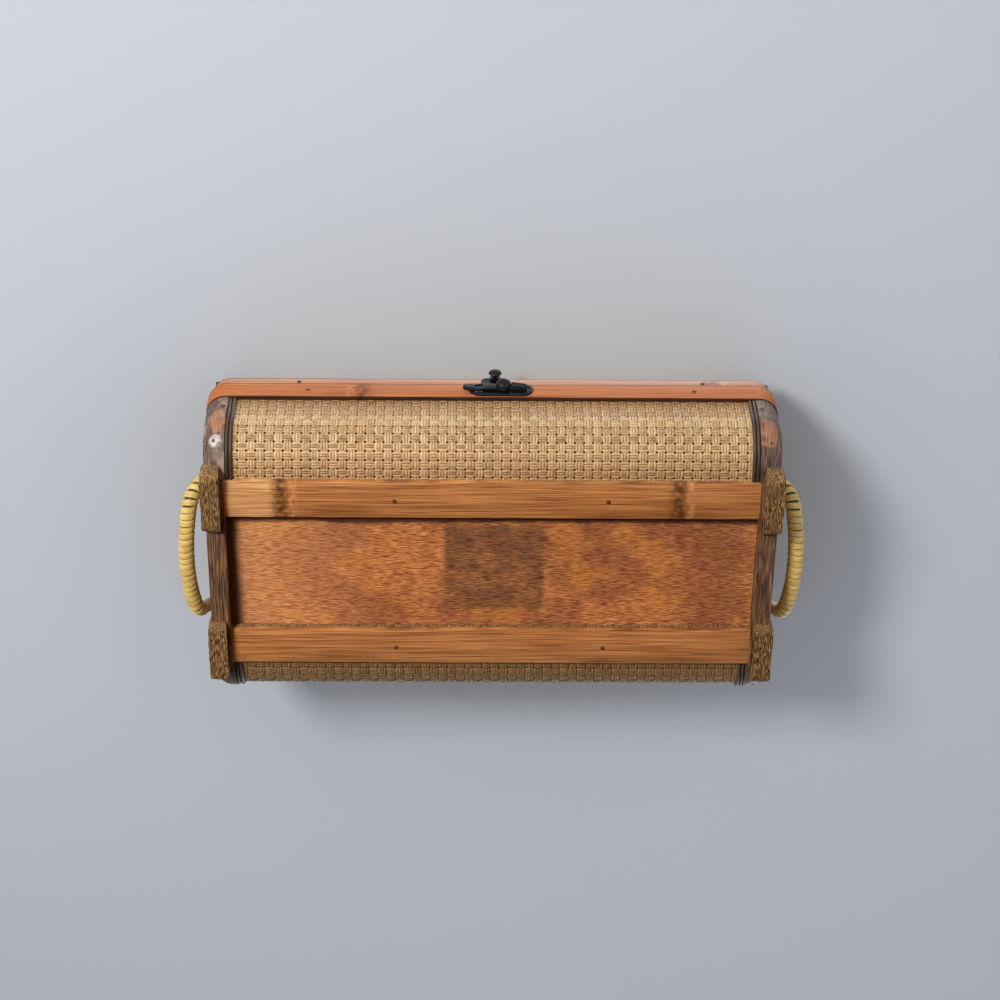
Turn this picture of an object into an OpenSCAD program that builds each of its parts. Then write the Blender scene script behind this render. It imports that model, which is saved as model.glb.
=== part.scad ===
// Wicker chest: woven cane case with bamboo trim, a low domed lid on two hinges, and a swing-hook latch.
// The front faces -Y, the feet stand on z = 0 and X runs along the length.

/* [Case] */
// Length of the case over its end boards
case_len = 322; // [280:1:380]
// Depth of the case over the woven walls
case_depth = 177.6; // [160:0.2:210]
// Height of the woven underside above the ground
bottom_z = 11; // [9:0.5:16]
// Radius of the woven lower edges
corner_r = 22; // [16:1:26]
// Plan radius of the upright edges
edge_r = 10; // [6:0.5:12]
// Thickness of the woven sheets
weave_t = 2; // [1.6:0.1:2.4]
// Distance between the rows of the weave
row_pitch = 5.1; // [4:0.1:8]
// Radius of the groove between two rows of the weave
groove_r = 0.7; // [0.3:0.05:1]
// Thickness of the end boards
board_t = 10.5; // [8.5:0.5:12]
// How far the end boards reach below the weave
board_drop = 6; // [3:0.5:8]

/* [Bottom] */
// Width of the bamboo runners
runner_w = 23.5; // [18:0.5:26]
// Thickness of the bamboo runners
runner_t = 4; // [3:0.25:5]
// Distance of a runner's middle line in from the case's front or back
runner_in = 38.8; // [34:0.2:42]
// Crown radius of a split bamboo strip
crown_r = 45; // [30:1:80]
// How far the woven sheets reach past the runners' inner edges
weave_lap = 1; // [0:0.25:6]
// Thickness of the bottom panel
panel_t = 3; // [2:0.5:5]
// Length of a foot
foot_len = 40; // [30:1:44]
// Thickness of a foot
foot_t = 8.5; // [6.5:0.5:9]
// Distance of a foot's middle in from the case's front or back
foot_in = 37.8; // [34:0.2:42]
// Radius of a foot's rounded corners
foot_r = 5; // [2:0.5:6]
// How far a foot stands out from its board
foot_out = 2; // [0:0.25:3]
// Radius of a foot's outer corners in plan
foot_plan_r = 4; // [2:0.5:6]

/* [Edge trim] */
// Width of an edge band
band_w = 11.5; // [8:0.5:14]
// Thickness of an edge band
band_t = 1.6; // [1:0.1:2]
// Width of a bead
bead_w = 4.4; // [3:0.2:6]
// Thickness of a bead
bead_t = 1.4; // [1:0.1:1.6]
// Distance of a band's upper nail from its inner edge
band_nail_in = 2.5; // [1.5:0.25:5]
// Distance of a band's upper nail from the rim hoop
band_nail_high = 10; // [6:0.5:14]
// Distance of a band's lower nail from its inner edge
bend_nail_in = 5.5; // [1.5:0.25:6]
// How far round the bend a band's lower nail sits, in degrees
bend_nail_turn = 45; // [20:1:50]

/* [Rim] */
// Height of the rim hoop's lower edge
rim_z = 53; // [46:1:70]
// Width of the rim hoop
rim_h = 16; // [13:0.5:20]
// Thickness of the hoops
hoop_t = 2.2; // [1.8:0.1:2.6]
// Thickness of the inner rails
rail_t = 2.5; // [1.5:0.25:4]

/* [Lid] */
// Gap between case and lid
lid_gap = 0.4; // [0.3:0.1:1]
// Width of the lid hoop
lid_hoop_h = 10; // [9:0.5:16]
// How far the lid's front stands back from the rim
lid_setback = 2.5; // [1:0.25:3]
// How far the lid's ends stand back from the rim
lid_inset = 1.5; // [0.5:0.25:3]
// Rise of the lid's dome above its edge
dome_rise = 19; // [12:0.5:30]
// How far the dome's edge lies below the top of the lid hoop
dome_tuck = 1; // [0.5:0.25:2]
// Thickness of the lid's end pieces
lid_end_t = 9; // [6:0.5:11]
// Width of the lid's inner rails
lid_rail_h = 6.4; // [4:0.2:6.6]

/* [Handles] */
// Height at which the handles leave their boards
handle_z = 41; // [38:0.5:44]
// How far a handle hangs below the level, in degrees
handle_tilt = 60; // [40:1:70]
// Length of a handle from its roots to the middle of its bow
handle_out = 17.8; // [16:0.2:22]
// Distance between the two ends of a handle
handle_span = 83.8; // [72:0.2:100]
// Radius of the bend where a handle leaves its board
root_r = 6; // [5:0.5:8]
// Radius of a handle's end bends
bend_r = 13; // [10:0.5:14]
// Straight stretch between two bends, and between the board and a bend
bend_stand = 0.2; // [0.1:0.1:2]
// Diameter of the handle's core
core_d = 7.2; // [6:0.2:8]
// How deep a handle end goes into its board
peg_depth = 7; // [4:0.5:7.5]
// Width of the cane wrap
wrap_w = 3.4; // [2.4:0.1:3.4]
// Thickness of the cane wrap
wrap_t = 1; // [0.6:0.1:1.2]
// Space between the turns of the cane wrap
wrap_space = 0.7; // [0.6:0.05:1.5]

/* [Nails] */
// Diameter of a nail head
nail_head_d = 2.6; // [2:0.1:3.2]
// Height of a nail head
nail_head_h = 0.6; // [0.4:0.1:0.8]
// Diameter of a nail shank
nail_d = 1.2; // [1:0.1:1.6]
// Distance of the rim's front and back nails from the middle
rim_nail_x = 110; // [106:1:125]
// Distance of the lid's front and back nails from the middle
lid_nail_x = 116; // [106:1:125]
// How far the nails of the front sit to the right of even places
nail_shift = 5; // [0:0.5:8]
// Distance of the rim's end nails from the middle
rim_nail_y = 35; // [20:1:60]
// Distance of the runner nails from the middle
runner_nail_x = 60; // [40:1:110]

/* [Latch] */
// Length of the latch plate
plate_len = 36.5; // [34:0.5:42]
// Height of the latch plate
plate_h = 13; // [11:0.5:14]
// Thickness of the latch plate
plate_t = 1.2; // [0.8:0.1:1.6]
// Sideways place of the latch plate's middle
plate_x = 4.8; // [0:0.2:8]
// Sideways place of the lever's rivet
pivot_x = 6.2; // [2:0.2:8]
// Diameter of the lever's rivet
pivot_d = 3; // [2.4:0.2:3.6]
// Diameter of the rivet's domed head
dome_d = 8; // [6:0.2:9]
// Height of the rivet's domed head
dome_h = 2.2; // [1.4:0.1:3.6]
// Diameter of the latch plate's pins
latch_pin_d = 2.4; // [1.8:0.1:3]
// Distance of a pin from the end of the latch plate
pin_inset = 5; // [3:0.25:6]
// Thickness of the lever
lever_t = 1.6; // [1.2:0.1:2]
// Gap on each side of the lever
lever_gap = 0.3; // [0.2:0.05:0.4]
// Reach of the lever's tapered arm
lever_reach = 13.4; // [10:0.2:16]
// Height of the tapered arm's tip above the rivet's level
tip_top = 1; // [0.6:0.1:2]
// Depth of the tapered arm's tip below the rivet's level
tip_low = 1.7; // [0.6:0.1:2.2]
// Length of the hook arm beyond its notch
hook_tip = 9; // [6:0.5:12]
// Width of the hook arm
hook_w = 5.2; // [4.6:0.2:6]
// Wall of the hook round its notch
hook_wall = 1.6; // [1.2:0.1:2]
// Sideways place of the stud on the lid
stud_x = 1.5; // [-2:0.5:4]
// Diameter of the stud's neck
stud_d = 2.8; // [2.2:0.1:3.2]
// Diameter of the keeper plate's collar, round the stud
collar_d = 6; // [4:0.2:7]
// Diameter of the stud's head
stud_head_d = 7.6; // [5:0.2:8]
// Height of the stud's head
stud_head_h = 1.8; // [1.2:0.1:2]
// Gap between the stud and the hook's notch
notch_gap = 0.8; // [0.6:0.1:1]
// Length of the keeper plate
keeper_len = 16; // [14:0.5:24]
// Height of the keeper plate
keeper_h = 7.6; // [6.6:0.2:8]
// Thickness of the keeper plate
keeper_t = 1; // [0.8:0.1:1.4]

/* [Hinges] */
// Distance of a hinge from the middle of the case
hinge_x = 90; // [60:1:105]
// Length of a hinge
hinge_len = 24; // [20:1:36]
// Radius of a hinge knuckle
knuckle_r = 2.6; // [2:0.1:3]
// Diameter of a hinge pin
pin_d = 2.4; // [2:0.1:2.6]
// Thickness of a hinge leaf
leaf_t = 0.9; // [0.6:0.1:1.2]
// Height of a hinge leaf on the case
leaf_h = 12; // [9:0.5:14]
// Height of a hinge leaf on the lid
lid_leaf_h = 9; // [7.5:0.5:9.5]
// Gap between neighbouring knuckles
knuckle_gap = 0.3; // [0.2:0.05:0.5]
// Distance of a leaf's nails from its ends
leaf_nail_in = 4; // [2.5:0.5:5]
// Distance of a leaf's nails from its far edge
leaf_nail_edge = 3.5; // [2.5:0.25:4]

/* [Clearances] */
// Gap between fitted pieces of one body
fit = 0.1; // [0.05:0.05:0.3]
// Radial play of a pin in its bore
play = 0.05; // [0.02:0.01:0.1]
// Gap between pieces that turn past each other
swing_gap = 0.4; // [0.3:0.1:0.6]

/* [Hidden] */
$fn = 48;
SIDES = ["left", "right"];
WALLS = ["front", "back"];

BAMBOO = "#b5713c";
RED_BAMBOO = "#a4562f";
DARK_BAMBOO = "#5b4034";
CANE = "#c9aa72";
YELLOW_CANE = "#d6b64e";
PLYWOOD = "#8d4f2c";
BOARD = "#6b4a33";
IRON = "#2a2725";

// How far a cut runs past the face that it opens
past = 1;

// Half sizes and heights of the case
half_len = case_len / 2;
half_depth = case_depth / 2;
rim_top = rim_z + rim_h;
inner_z = bottom_z + weave_t;
board_in = half_len - board_t;
runner_y = half_depth - runner_in;
foot_y = half_depth - foot_in;
foot_end = foot_y + foot_len / 2;
foot_h = inner_z - fit;
weave_edge = runner_y - runner_w / 2 - weave_lap;
room_x = board_in - fit;

// Half sizes of the rim hoop's inside
hoop_x = half_len + fit;
hoop_y = half_depth + fit;
rim_face = hoop_y + hoop_t;

// The lid lies flush with the rim at the back and stands back at the front
lid_z = rim_top + lid_gap;
lid_y = lid_setback / 2;
lid_hoop_x = hoop_x - lid_inset;
lid_hoop_y = hoop_y - lid_setback / 2;
lid_face = rim_face - lid_setback;
lid_top = lid_z + lid_hoop_h;
lid_room_x = lid_hoop_x - fit;
lid_room_y = lid_hoop_y - fit;
lid_end_in = lid_room_x - lid_end_t;
dome_edge_z = lid_top - dome_tuck;
dome_r = (pow(lid_room_y, 2) + pow(dome_rise, 2)) / (2 * dome_rise);
dome_z = dome_edge_z + dome_rise - dome_r;

// Lever and stud: the notch lies as far from the rivet as the stud does
pivot_z = rim_z + rim_h / 2;
stud_z = lid_z + lid_hoop_h / 2;
stud_reach = norm([stud_x - pivot_x, stud_z - pivot_z]);
plate_face = rim_face + plate_t;
lever_back = plate_face + lever_gap;
lever_face = lever_back + lever_t;
notch_r = stud_d / 2 + notch_gap;

// Hinge axis
hinge_y = rim_face + knuckle_r + swing_gap;
hinge_z = rim_top + lid_gap / 2;
lid_knuckle = hinge_len / 3 - knuckle_gap;

// Handle path: a long bow that runs smoothly into two bends, in a plane that hangs from two root bends
bend_out = handle_out - bend_stand;
bend_y = handle_span / 2 - bend_r;
peg_y = handle_span / 2;
bow_r = (pow(bend_out, 2) + pow(bend_y, 2) - pow(bend_r, 2)) / (2 * (bend_out - bend_r));
bow_a = asin(bend_y / (bow_r - bend_r));
bow_c = handle_out - bow_r;
bow_len = 2 * PI * bow_r * bow_a / 180;

// Cane wrap: whole half turns that fill the bow
wrap_rings = 16;
wrap_r = core_d / 2 / cos(180 / wrap_rings) + wrap_t / 2 + play;
wrap_turns = floor(2 * (bow_len - wrap_w) / (wrap_w + wrap_space)) / 2;
wrap_pitch = (bow_len - wrap_w) / wrap_turns;

function side(s) = s == "left" ? -1 : 1;
function wall(w) = w == "front" ? -1 : 1;

// Shared shapes

// Stretches an outline drawn in Y and Z from x0 to x1
module along_x(x0, x1) translate([x0, 0, 0]) rotate([90, 0, 90]) linear_extrude(x1 - x0) children();

// Stretches an outline drawn in X and Z from y0 to y1
module along_y(y0, y1) translate([0, y1, 0]) rotate([90, 0, 0]) linear_extrude(y1 - y0) children();

// The same on one side, between two distances from the middle
module on_side(s, x0, x1) along_x(side(s) > 0 ? x0 : -x1, side(s) > 0 ? x1 : -x0) children();

// Upright prism with rounded corners in plan
module plan(half_x, half_y, r, z0, z1) translate([0, 0, z0]) linear_extrude(z1 - z0) {
    square(2 * [half_x - r, half_y], center = true);
    square(2 * [half_x, half_y - r], center = true);
    for (x = [-1, 1], y = [-1, 1]) translate([x * (half_x - r), y * (half_y - r)]) circle(r);
}

// Section of the case, grown outwards by off
module section(off) {
    d = half_depth + off;
    z = bottom_z - off;
    r = corner_r + off;
    translate([r - d, z]) square([2 * (d - r), rim_top - z]);
    translate([-d, z + r]) square([2 * d, rim_top - z - r]);
    for (y = [-1, 1]) translate([y * (d - r), z + r]) circle(r);
}

// The quarter of the section on one wall, between two distances from the middle and up to a height
module wall_part(w, y0, y1, top) intersection() {
    children();
    translate([wall(w) > 0 ? y0 : -y1, 0]) square([y1 - y0, top]);
}

// Crowned section of a split bamboo strip, flat side at z = t
module split_bamboo(w, t) intersection() {
    translate([-w / 2, 0]) square([w, t]);
    translate([0, crown_r]) circle(crown_r, $fn = 96);
}

// Oblong outline with round ends
module oblong(len, h) {
    square([len - h, h], center = true);
    for (x = [-1, 1]) translate([x * (len - h) / 2, 0]) circle(d = h);
}

// Nail pointing along -Z from a surface at z = 0
module nail(len) {
    cylinder(d = nail_head_d, h = nail_head_h);
    translate([0, 0, -len]) cylinder(d = nail_d, h = len + nail_head_h / 2);
}

module nail_hole(len) translate([0, 0, -len - fit]) cylinder(d = nail_d + 2 * play, h = len + fit + past);

// Places children on the case's front, back and end faces, z pointing outwards
module on_hoop(nail_x, face_y0, face_y1, face_x, z) {
    for (x = [-1, 1]) translate([x * nail_x + nail_shift, -face_y0, z]) rotate([90, 0, 0]) children();
    for (x = [-1, 1]) translate([x * nail_x, face_y1, z]) rotate([-90, 0, 0]) children();
    for (x = [-1, 1], y = [-1, 1])
        translate([x * face_x, y * rim_nail_y, z]) rotate([0, x * 90, 0]) children();
}

hoop_nail_len = hoop_t - 2 * fit;
module on_rim() on_hoop(rim_nail_x, rim_face, rim_face, hoop_x + hoop_t, pivot_z) children();
module on_lid_hoop() on_hoop(lid_nail_x, lid_face, rim_face, lid_hoop_x + hoop_t, stud_z) children();

// Case

module bottom_panel() color(PLYWOOD) translate([-room_x, -half_depth + corner_r + fit, inner_z])
    cube([2 * room_x, 2 * (half_depth - corner_r - fit), panel_t]);

module on_runner(w) for (x = [-1, 1])
    translate([x * runner_nail_x + nail_shift, wall(w) * runner_y, bottom_z - runner_t])
        rotate([180, 0, 0]) children();
runner_nail_len = runner_t - 2 * fit;

module runner(w) color(BAMBOO) difference() {
    along_x(-room_x, room_x)
        translate([wall(w) * runner_y, bottom_z - runner_t]) split_bamboo(runner_w, runner_t);
    on_runner(w) nail_hole(runner_nail_len);
}

// Rows of the weave on the upright of a wall and round its bend
wall_rows = floor((rim_z - bottom_z - corner_r) / row_pitch);
bend_rows = round(PI / 2 * corner_r / row_pitch);

// The sheet covers the end boards' edges on the wall and lies between the boards beside the feet
module woven_panel(w) color(CANE) intersection() {
    union() {
        along_x(-half_len, half_len) wall_part(w, foot_end + fit, half_depth, rim_top) sheet();
        along_x(-room_x, room_x) wall_part(w, weave_edge, foot_end + 2 * fit, rim_top) sheet();
    }
    plan(half_len, half_depth, edge_r, 0, rim_top);
}

module sheet() difference() {
    section(0);
    section(-weave_t);
    for (y = [-1, 1]) {
        for (i = [1 : wall_rows]) translate([y * half_depth, bottom_z + corner_r + i * row_pitch]) circle(groove_r);
        translate([y * (half_depth - corner_r), bottom_z + corner_r]) for (i = [0 : bend_rows])
            rotate(y * (90 * i / bend_rows - 90)) translate([0, -corner_r]) circle(groove_r);
    }
}

module rail(w) color(BAMBOO) translate([-room_x, 0, rim_z])
    translate([0, wall(w) > 0 ? half_depth - weave_t - fit - rail_t : weave_t + fit - half_depth, 0])
        cube([2 * room_x, rail_t, rim_h]);

// Places children on a foot's middle, x pointing outwards from the board
module at_foot(s, w) translate([side(s) * half_len, wall(w) * foot_y, 0])
    mirror([side(s) < 0 ? 1 : 0, 0, 0]) children();

// A foot is rounded where it stands and at its two outer corners
module foot(s, w) color(DARK_BAMBOO) at_foot(s, w) intersection() {
    translate([-foot_t, 0, 0]) rotate([90, 0, 90]) linear_extrude(foot_t + foot_out) {
        translate([-foot_len / 2, foot_r]) square([foot_len, foot_h - foot_r]);
        translate([foot_r - foot_len / 2, 0]) square([foot_len - 2 * foot_r, foot_h]);
        for (y = [-1, 1]) translate([y * (foot_len / 2 - foot_r), foot_r]) circle(foot_r);
    }
    linear_extrude(foot_h) {
        translate([-foot_t, -foot_len / 2]) square([foot_t + foot_out - foot_plan_r, foot_len]);
        translate([-foot_t, foot_plan_r - foot_len / 2]) square([foot_t + foot_out, foot_len - 2 * foot_plan_r]);
        for (y = [-1, 1]) translate([foot_out - foot_plan_r, y * (foot_len / 2 - foot_plan_r)]) circle(foot_plan_r);
    }
}

// Room for a foot, with the fit all round and open to the outside
module foot_housing() translate([-foot_t - fit, -foot_len / 2 - fit, 0])
    cube([foot_t + 2 * fit + past, foot_len + 2 * fit, foot_h + fit]);

// End board with a low edge between the feet, a housing for each foot and two bores for the handle
module end_board(s) color(BOARD) difference() {
    intersection() {
        on_side(s, board_in, half_len) {
            section(-weave_t);
            translate([-runner_y - runner_w / 2, bottom_z - board_drop])
                square([2 * runner_y + runner_w, inner_z]);
        }
        plan(half_len, half_depth, edge_r, 0, rim_top);
    }
    for (w = WALLS) at_foot(s, w) foot_housing();
    for (y = [-1, 1]) translate([side(s) * (half_len - peg_depth - fit), y * peg_y, handle_z])
        rotate([0, side(s) * 90, 0]) cylinder(d = core_d + 2 * play, h = peg_depth + fit + past);
}

// Band over the weave's edge, from the foot up to the hoop
module band(s, w) color(DARK_BAMBOO) difference() {
    intersection() {
        on_side(s, half_len - band_w, half_len)
            wall_part(w, foot_end + fit, half_depth + band_t, rim_z - fit) difference() {
                section(band_t);
                section(0);
            }
        plan(half_len, half_depth + band_t, edge_r, 0, rim_top);
    }
    on_bands() nail_hole(band_nail_len);
}

// A nail in the upright stretch of each band and one in its bend
band_nail_len = band_t - 2 * fit;
band_in = half_len - band_w;
module on_bands() for (x = [-1, 1], w = [-1, 1]) {
    translate([x * (band_in + band_nail_in), w * (half_depth + band_t), rim_z - band_nail_high])
        rotate([w * -90, 0, 0]) children();
    translate([x * (band_in + bend_nail_in), w * (half_depth - corner_r), bottom_z + corner_r])
        rotate([w * (-90 - bend_nail_turn), 0, 0]) translate([0, 0, corner_r + band_t]) children();
}

// Bead beside the band, from the runner up to the hoop
bead_x = half_len - band_w - fit - bead_w;
module bead(s, w) color(DARK_BAMBOO) on_side(s, bead_x, bead_x + bead_w)
    wall_part(w, runner_y + runner_w / 2 + fit, half_depth + bead_t, rim_z - fit) difference() {
        section(bead_t);
        section(0);
    }

module rim_hoop() color(RED_BAMBOO) difference() {
    plan(hoop_x + hoop_t, rim_face, edge_r + hoop_t, rim_z, rim_top);
    plan(hoop_x, hoop_y, edge_r, rim_z - past, rim_top + past);
    on_rim() nail_hole(hoop_nail_len);
}

module rim_nails() color(IRON) on_rim() nail(hoop_nail_len);
module band_nails() color(IRON) on_bands() nail(band_nail_len);
module runner_nails() color(IRON) for (w = WALLS) on_runner(w) nail(runner_nail_len);

// Handles

module at_handle(s) translate([side(s) * half_len, 0, handle_z])
    mirror([side(s) < 0 ? 1 : 0, 0, 0]) children();

// A point on the root bends, which turn from the pegs down to the handle's plane
function on_root(t) = [bend_stand + root_r * sin(t), root_r * (cos(t) - 1)];
root_end = on_root(handle_tilt);

// A point of the handle's plane, from its distances out and along and its height over the plane
function hung(out, along, over) = [
    root_end[0] + out * cos(handle_tilt) + over * sin(handle_tilt), along,
    root_end[1] - out * sin(handle_tilt) + over * cos(handle_tilt)];

// Rings of the core from peg to peg
bow_steps = 18;
bend_steps = 6;
root_steps = 5;
core_sides = 12;
core_turn = 360 / core_sides;
core_ring = [for (j = [0:core_sides - 1]) core_d / 2 * [cos(j * core_turn), sin(j * core_turn)]];
function peg_ring(y) = [for (q = core_ring) [-peg_depth, y * (peg_y + q[0]), q[1]]];
function root_ring(y, t) = let (p = on_root(t))
    [for (q = core_ring) [p[0] + q[1] * sin(t), y * (peg_y + q[0]), p[1] + q[1] * cos(t)]];
function bend_ring(y, a) = [for (q = core_ring) let (r = bend_r + q[0])
    hung(bend_stand + r * cos(a), y * (bend_y + r * sin(a)), q[1])];
function bow_ring(a) = [for (q = core_ring) let (r = bow_r + q[0]) hung(bow_c + r * cos(a), r * sin(a), q[1])];
bend_step = (90 - bow_a) / bend_steps;
bow_step = 2 * bow_a / bow_steps;
root_step = handle_tilt / root_steps;
core_rings = concat(
    [peg_ring(-1)],
    [for (i = [0:root_steps]) root_ring(-1, i * root_step)],
    [for (i = [0:bend_steps]) bend_ring(-1, 90 - i * bend_step)],
    [for (i = [1:bow_steps - 1]) bow_ring(-bow_a + i * bow_step)],
    [for (i = [0:bend_steps]) bend_ring(1, bow_a + i * bend_step)],
    [for (i = [root_steps:-1:0]) root_ring(1, i * root_step)],
    [peg_ring(1)]);
core_points = [for (ring = core_rings) each ring];

// Faces of a closed tube of rings
function tube_faces(sides, steps) = concat(
    [[for (j = [0:sides - 1]) j]],
    [for (i = [0:steps - 1], j = [0:sides - 1]) let (a = i * sides, n = (j + 1) % sides)
        each [[a + j, a + sides + j, a + sides + n], [a + j, a + sides + n, a + n]]],
    [[for (j = [sides - 1:-1:0]) steps * sides + j]]);

module handle_core(s) color(CANE) at_handle(s)
    polyhedron(core_points, tube_faces(core_sides, len(core_rings) - 1), convexity = 6);

// Point on the wrap's middle line, at a turn count from its first end
function wrap_angle(k) = -bow_a * (bow_len - wrap_w) / bow_len + 360 * (k * wrap_pitch) / (2 * PI * bow_r);
function wrap_point(k, out, along) = let (a = wrap_angle(k), r = wrap_r + out, q = bow_r + r * cos(360 * k))
    hung(bow_c + q * cos(a) - along * sin(a), q * sin(a) + along * cos(a), r * sin(360 * k));

// Six-sided flat section of the cane, as distance outwards and distance along the handle
wrap_flat = 0.7;
wrap_outline = [[0, -1], [1, -wrap_flat], [1, wrap_flat], [0, 1], [-1, wrap_flat], [-1, -wrap_flat]];
wrap_section = [for (p = wrap_outline) [p[0] * wrap_t / 2, p[1] * wrap_w / 2]];
wrap_sides = len(wrap_section);
wrap_steps = round(wrap_turns * wrap_rings);
wrap_points = [for (i = [0:wrap_steps], p = wrap_section) wrap_point(i / wrap_rings, p[0], p[1])];
// Least gap between one turn and the next, measured on the edges that face each other
near_rings = 3;
function wrap_edge(i, edge) = wrap_point(i / wrap_rings, 0, edge * wrap_w / 2);
wrap_gap = min([for (i = [0:wrap_steps - wrap_rings], j = [-near_rings:near_rings])
    if (i + j + wrap_rings <= wrap_steps) norm(wrap_edge(i, 1) - wrap_edge(i + j + wrap_rings, -1))]);
echo(least_gap_between_wrap_turns = wrap_gap);

module handle_wrap(s) color(YELLOW_CANE) at_handle(s)
    polyhedron(wrap_points, tube_faces(wrap_sides, wrap_steps), convexity = 10);

// Latch

pin_x = plate_len / 2 - pin_inset;

module latch_plate() color(IRON) along_y(-plate_face, -rim_face) translate([plate_x, pivot_z]) difference() {
    oblong(plate_len, plate_h);
    translate([pivot_x - plate_x, 0]) circle(d = pivot_d + 2 * play);
    for (x = [-1, 1]) translate([x * pin_x, 0]) circle(d = latch_pin_d + 2 * play);
}

module latch_pins() color(IRON) for (x = [-1, 1]) along_y(-plate_face, -rim_face)
    translate([plate_x + x * pin_x, pivot_z]) circle(d = latch_pin_d);

// Rivet with a domed head over the lever
dome_sphere_r = (pow(dome_d / 2, 2) + pow(dome_h, 2)) / (2 * dome_h);
module latch_pivot() color(IRON) translate([pivot_x, -rim_face, pivot_z]) rotate([90, 0, 0]) {
    shank = lever_face - rim_face + lever_gap;
    cylinder(d = pivot_d, h = shank + dome_h / 2);
    translate([0, 0, shank]) intersection() {
        cylinder(d = dome_d, h = dome_h);
        translate([0, 0, dome_h - dome_sphere_r]) sphere(dome_sphere_r);
    }
}

hook_end = stud_reach + hook_tip - hook_w / 2;
// Lever: a tapered arm to the right and a hook arm to the left, notched for the stud
module latch_lever() color(IRON) along_y(-lever_face, -lever_back)
    translate([pivot_x, pivot_z]) difference() {
        union() {
            circle(d = dome_d);
            polygon([[-hook_end, -hook_w / 2], [0, -hook_w / 2], [lever_reach, -tip_low],
                [lever_reach, tip_top], [0, hook_w / 2], [-hook_end, hook_w / 2]]);
            translate([-hook_end, 0]) circle(d = hook_w);
            translate([-stud_reach, 0]) circle(notch_r + hook_wall);
        }
        circle(d = pivot_d + 2 * play);
        translate([-stud_reach - notch_r, -notch_r]) square([2 * notch_r, 2 * notch_r + hook_wall + past]);
    }

// The stud stands in a bore of its plate, through a collar behind the hook's way
module keeper_plate() color(IRON) translate([stud_x, -lid_face, stud_z]) rotate([90, 0, 0]) difference() {
    union() {
        linear_extrude(keeper_t) oblong(keeper_len, keeper_h);
        cylinder(d = collar_d, h = lever_back - swing_gap - lid_face);
    }
    translate([0, 0, -past]) cylinder(d = stud_d + 2 * play, h = lever_back - lid_face + past);
}

module keeper_stud() color(IRON) translate([stud_x, -lid_face, stud_z]) rotate([90, 0, 0]) {
    neck = lever_face + swing_gap - lid_face;
    cylinder(d = stud_d, h = neck + stud_head_h / 2);
    translate([0, 0, neck]) cylinder(d = stud_head_d, h = stud_head_h);
}

// Lid

module lid_plan(half_x, half_y, r, z0, z1) translate([0, lid_y, 0]) plan(half_x, half_y, r, z0, z1);

module lid_hoop() color(RED_BAMBOO) difference() {
    lid_plan(lid_hoop_x + hoop_t, lid_hoop_y + hoop_t, edge_r + hoop_t, lid_z, lid_top);
    lid_plan(lid_hoop_x, lid_hoop_y, edge_r, lid_z - past, lid_top + past);
    on_lid_hoop() nail_hole(hoop_nail_len);
}

module lid_nails() color(IRON) on_lid_hoop() nail(hoop_nail_len);

// Section of the dome, grown outwards by off, above a height
module dome(off, z0) intersection() {
    translate([lid_y, dome_z]) circle(dome_r + off, $fn = 240);
    translate([lid_y - lid_room_y - past, z0])
        square([2 * (lid_room_y + past), dome_rise + lid_hoop_h + off]);
}

module lid_shell(x0, x1, out, in, z0) intersection() {
    along_x(x0, x1) difference() {
        dome(out, z0);
        dome(in, z0 - past);
    }
    lid_plan(lid_room_x, lid_room_y, edge_r - fit, lid_z, lid_top + 2 * dome_rise);
}

// Rows of the weave over the dome, from its front edge to its back edge
dome_a = asin(lid_room_y / dome_r);
lid_rows = round(PI / 90 * dome_a * dome_r / row_pitch);
module lid_woven_panel() color(CANE) difference() {
    lid_shell(-lid_room_x - past, lid_room_x + past, 0, -weave_t, lid_z);
    along_x(-lid_room_x - past, lid_room_x + past) translate([lid_y, dome_z]) for (i = [1 : lid_rows - 1])
        rotate(dome_a * (1 - 2 * i / lid_rows)) translate([0, dome_r]) circle(groove_r);
}

module lid_end(s) color(BOARD) intersection() {
    on_side(s, lid_end_in, lid_room_x + past) dome(-weave_t, lid_z);
    lid_plan(lid_room_x, lid_room_y, edge_r - fit, lid_z, lid_top + dome_rise);
}

module lid_rail(w) color(BAMBOO) intersection() {
    translate([-lid_end_in + fit, lid_y + (wall(w) > 0 ? lid_room_y - rail_t : -lid_room_y), lid_z])
        cube([2 * (lid_end_in - fit), rail_t, lid_rail_h]);
    along_x(-lid_end_in, lid_end_in) dome(-weave_t, lid_z);
}

lid_band_in = lid_room_x - band_w;
lid_bead_in = lid_band_in - fit - bead_w;
module lid_trim(s, x0, w, t)
    lid_shell(side(s) > 0 ? x0 : -x0 - w, side(s) > 0 ? x0 + w : -x0, t + fit, fit, lid_top + fit);
module lid_band(s) color(DARK_BAMBOO) lid_trim(s, lid_band_in, band_w + past, band_t);
module lid_bead(s) color(DARK_BAMBOO) lid_trim(s, lid_bead_in, bead_w, bead_t);

// Hinges

// Place of a hinge: x along the pin, z = 0 on the axis, y = 0 on the axis
module at_hinge(s) translate([side(s) * hinge_x, hinge_y, hinge_z]) children();

// Knuckle from x0 to x1
module knuckle(x0, x1) along_x(x0, x1) circle(knuckle_r);

module pin_bore() along_x(-hinge_len, hinge_len) circle(d = pin_d + 2 * play);

leaf_y = rim_face - hinge_y;
leaf_clear = knuckle_r + swing_gap;

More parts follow.
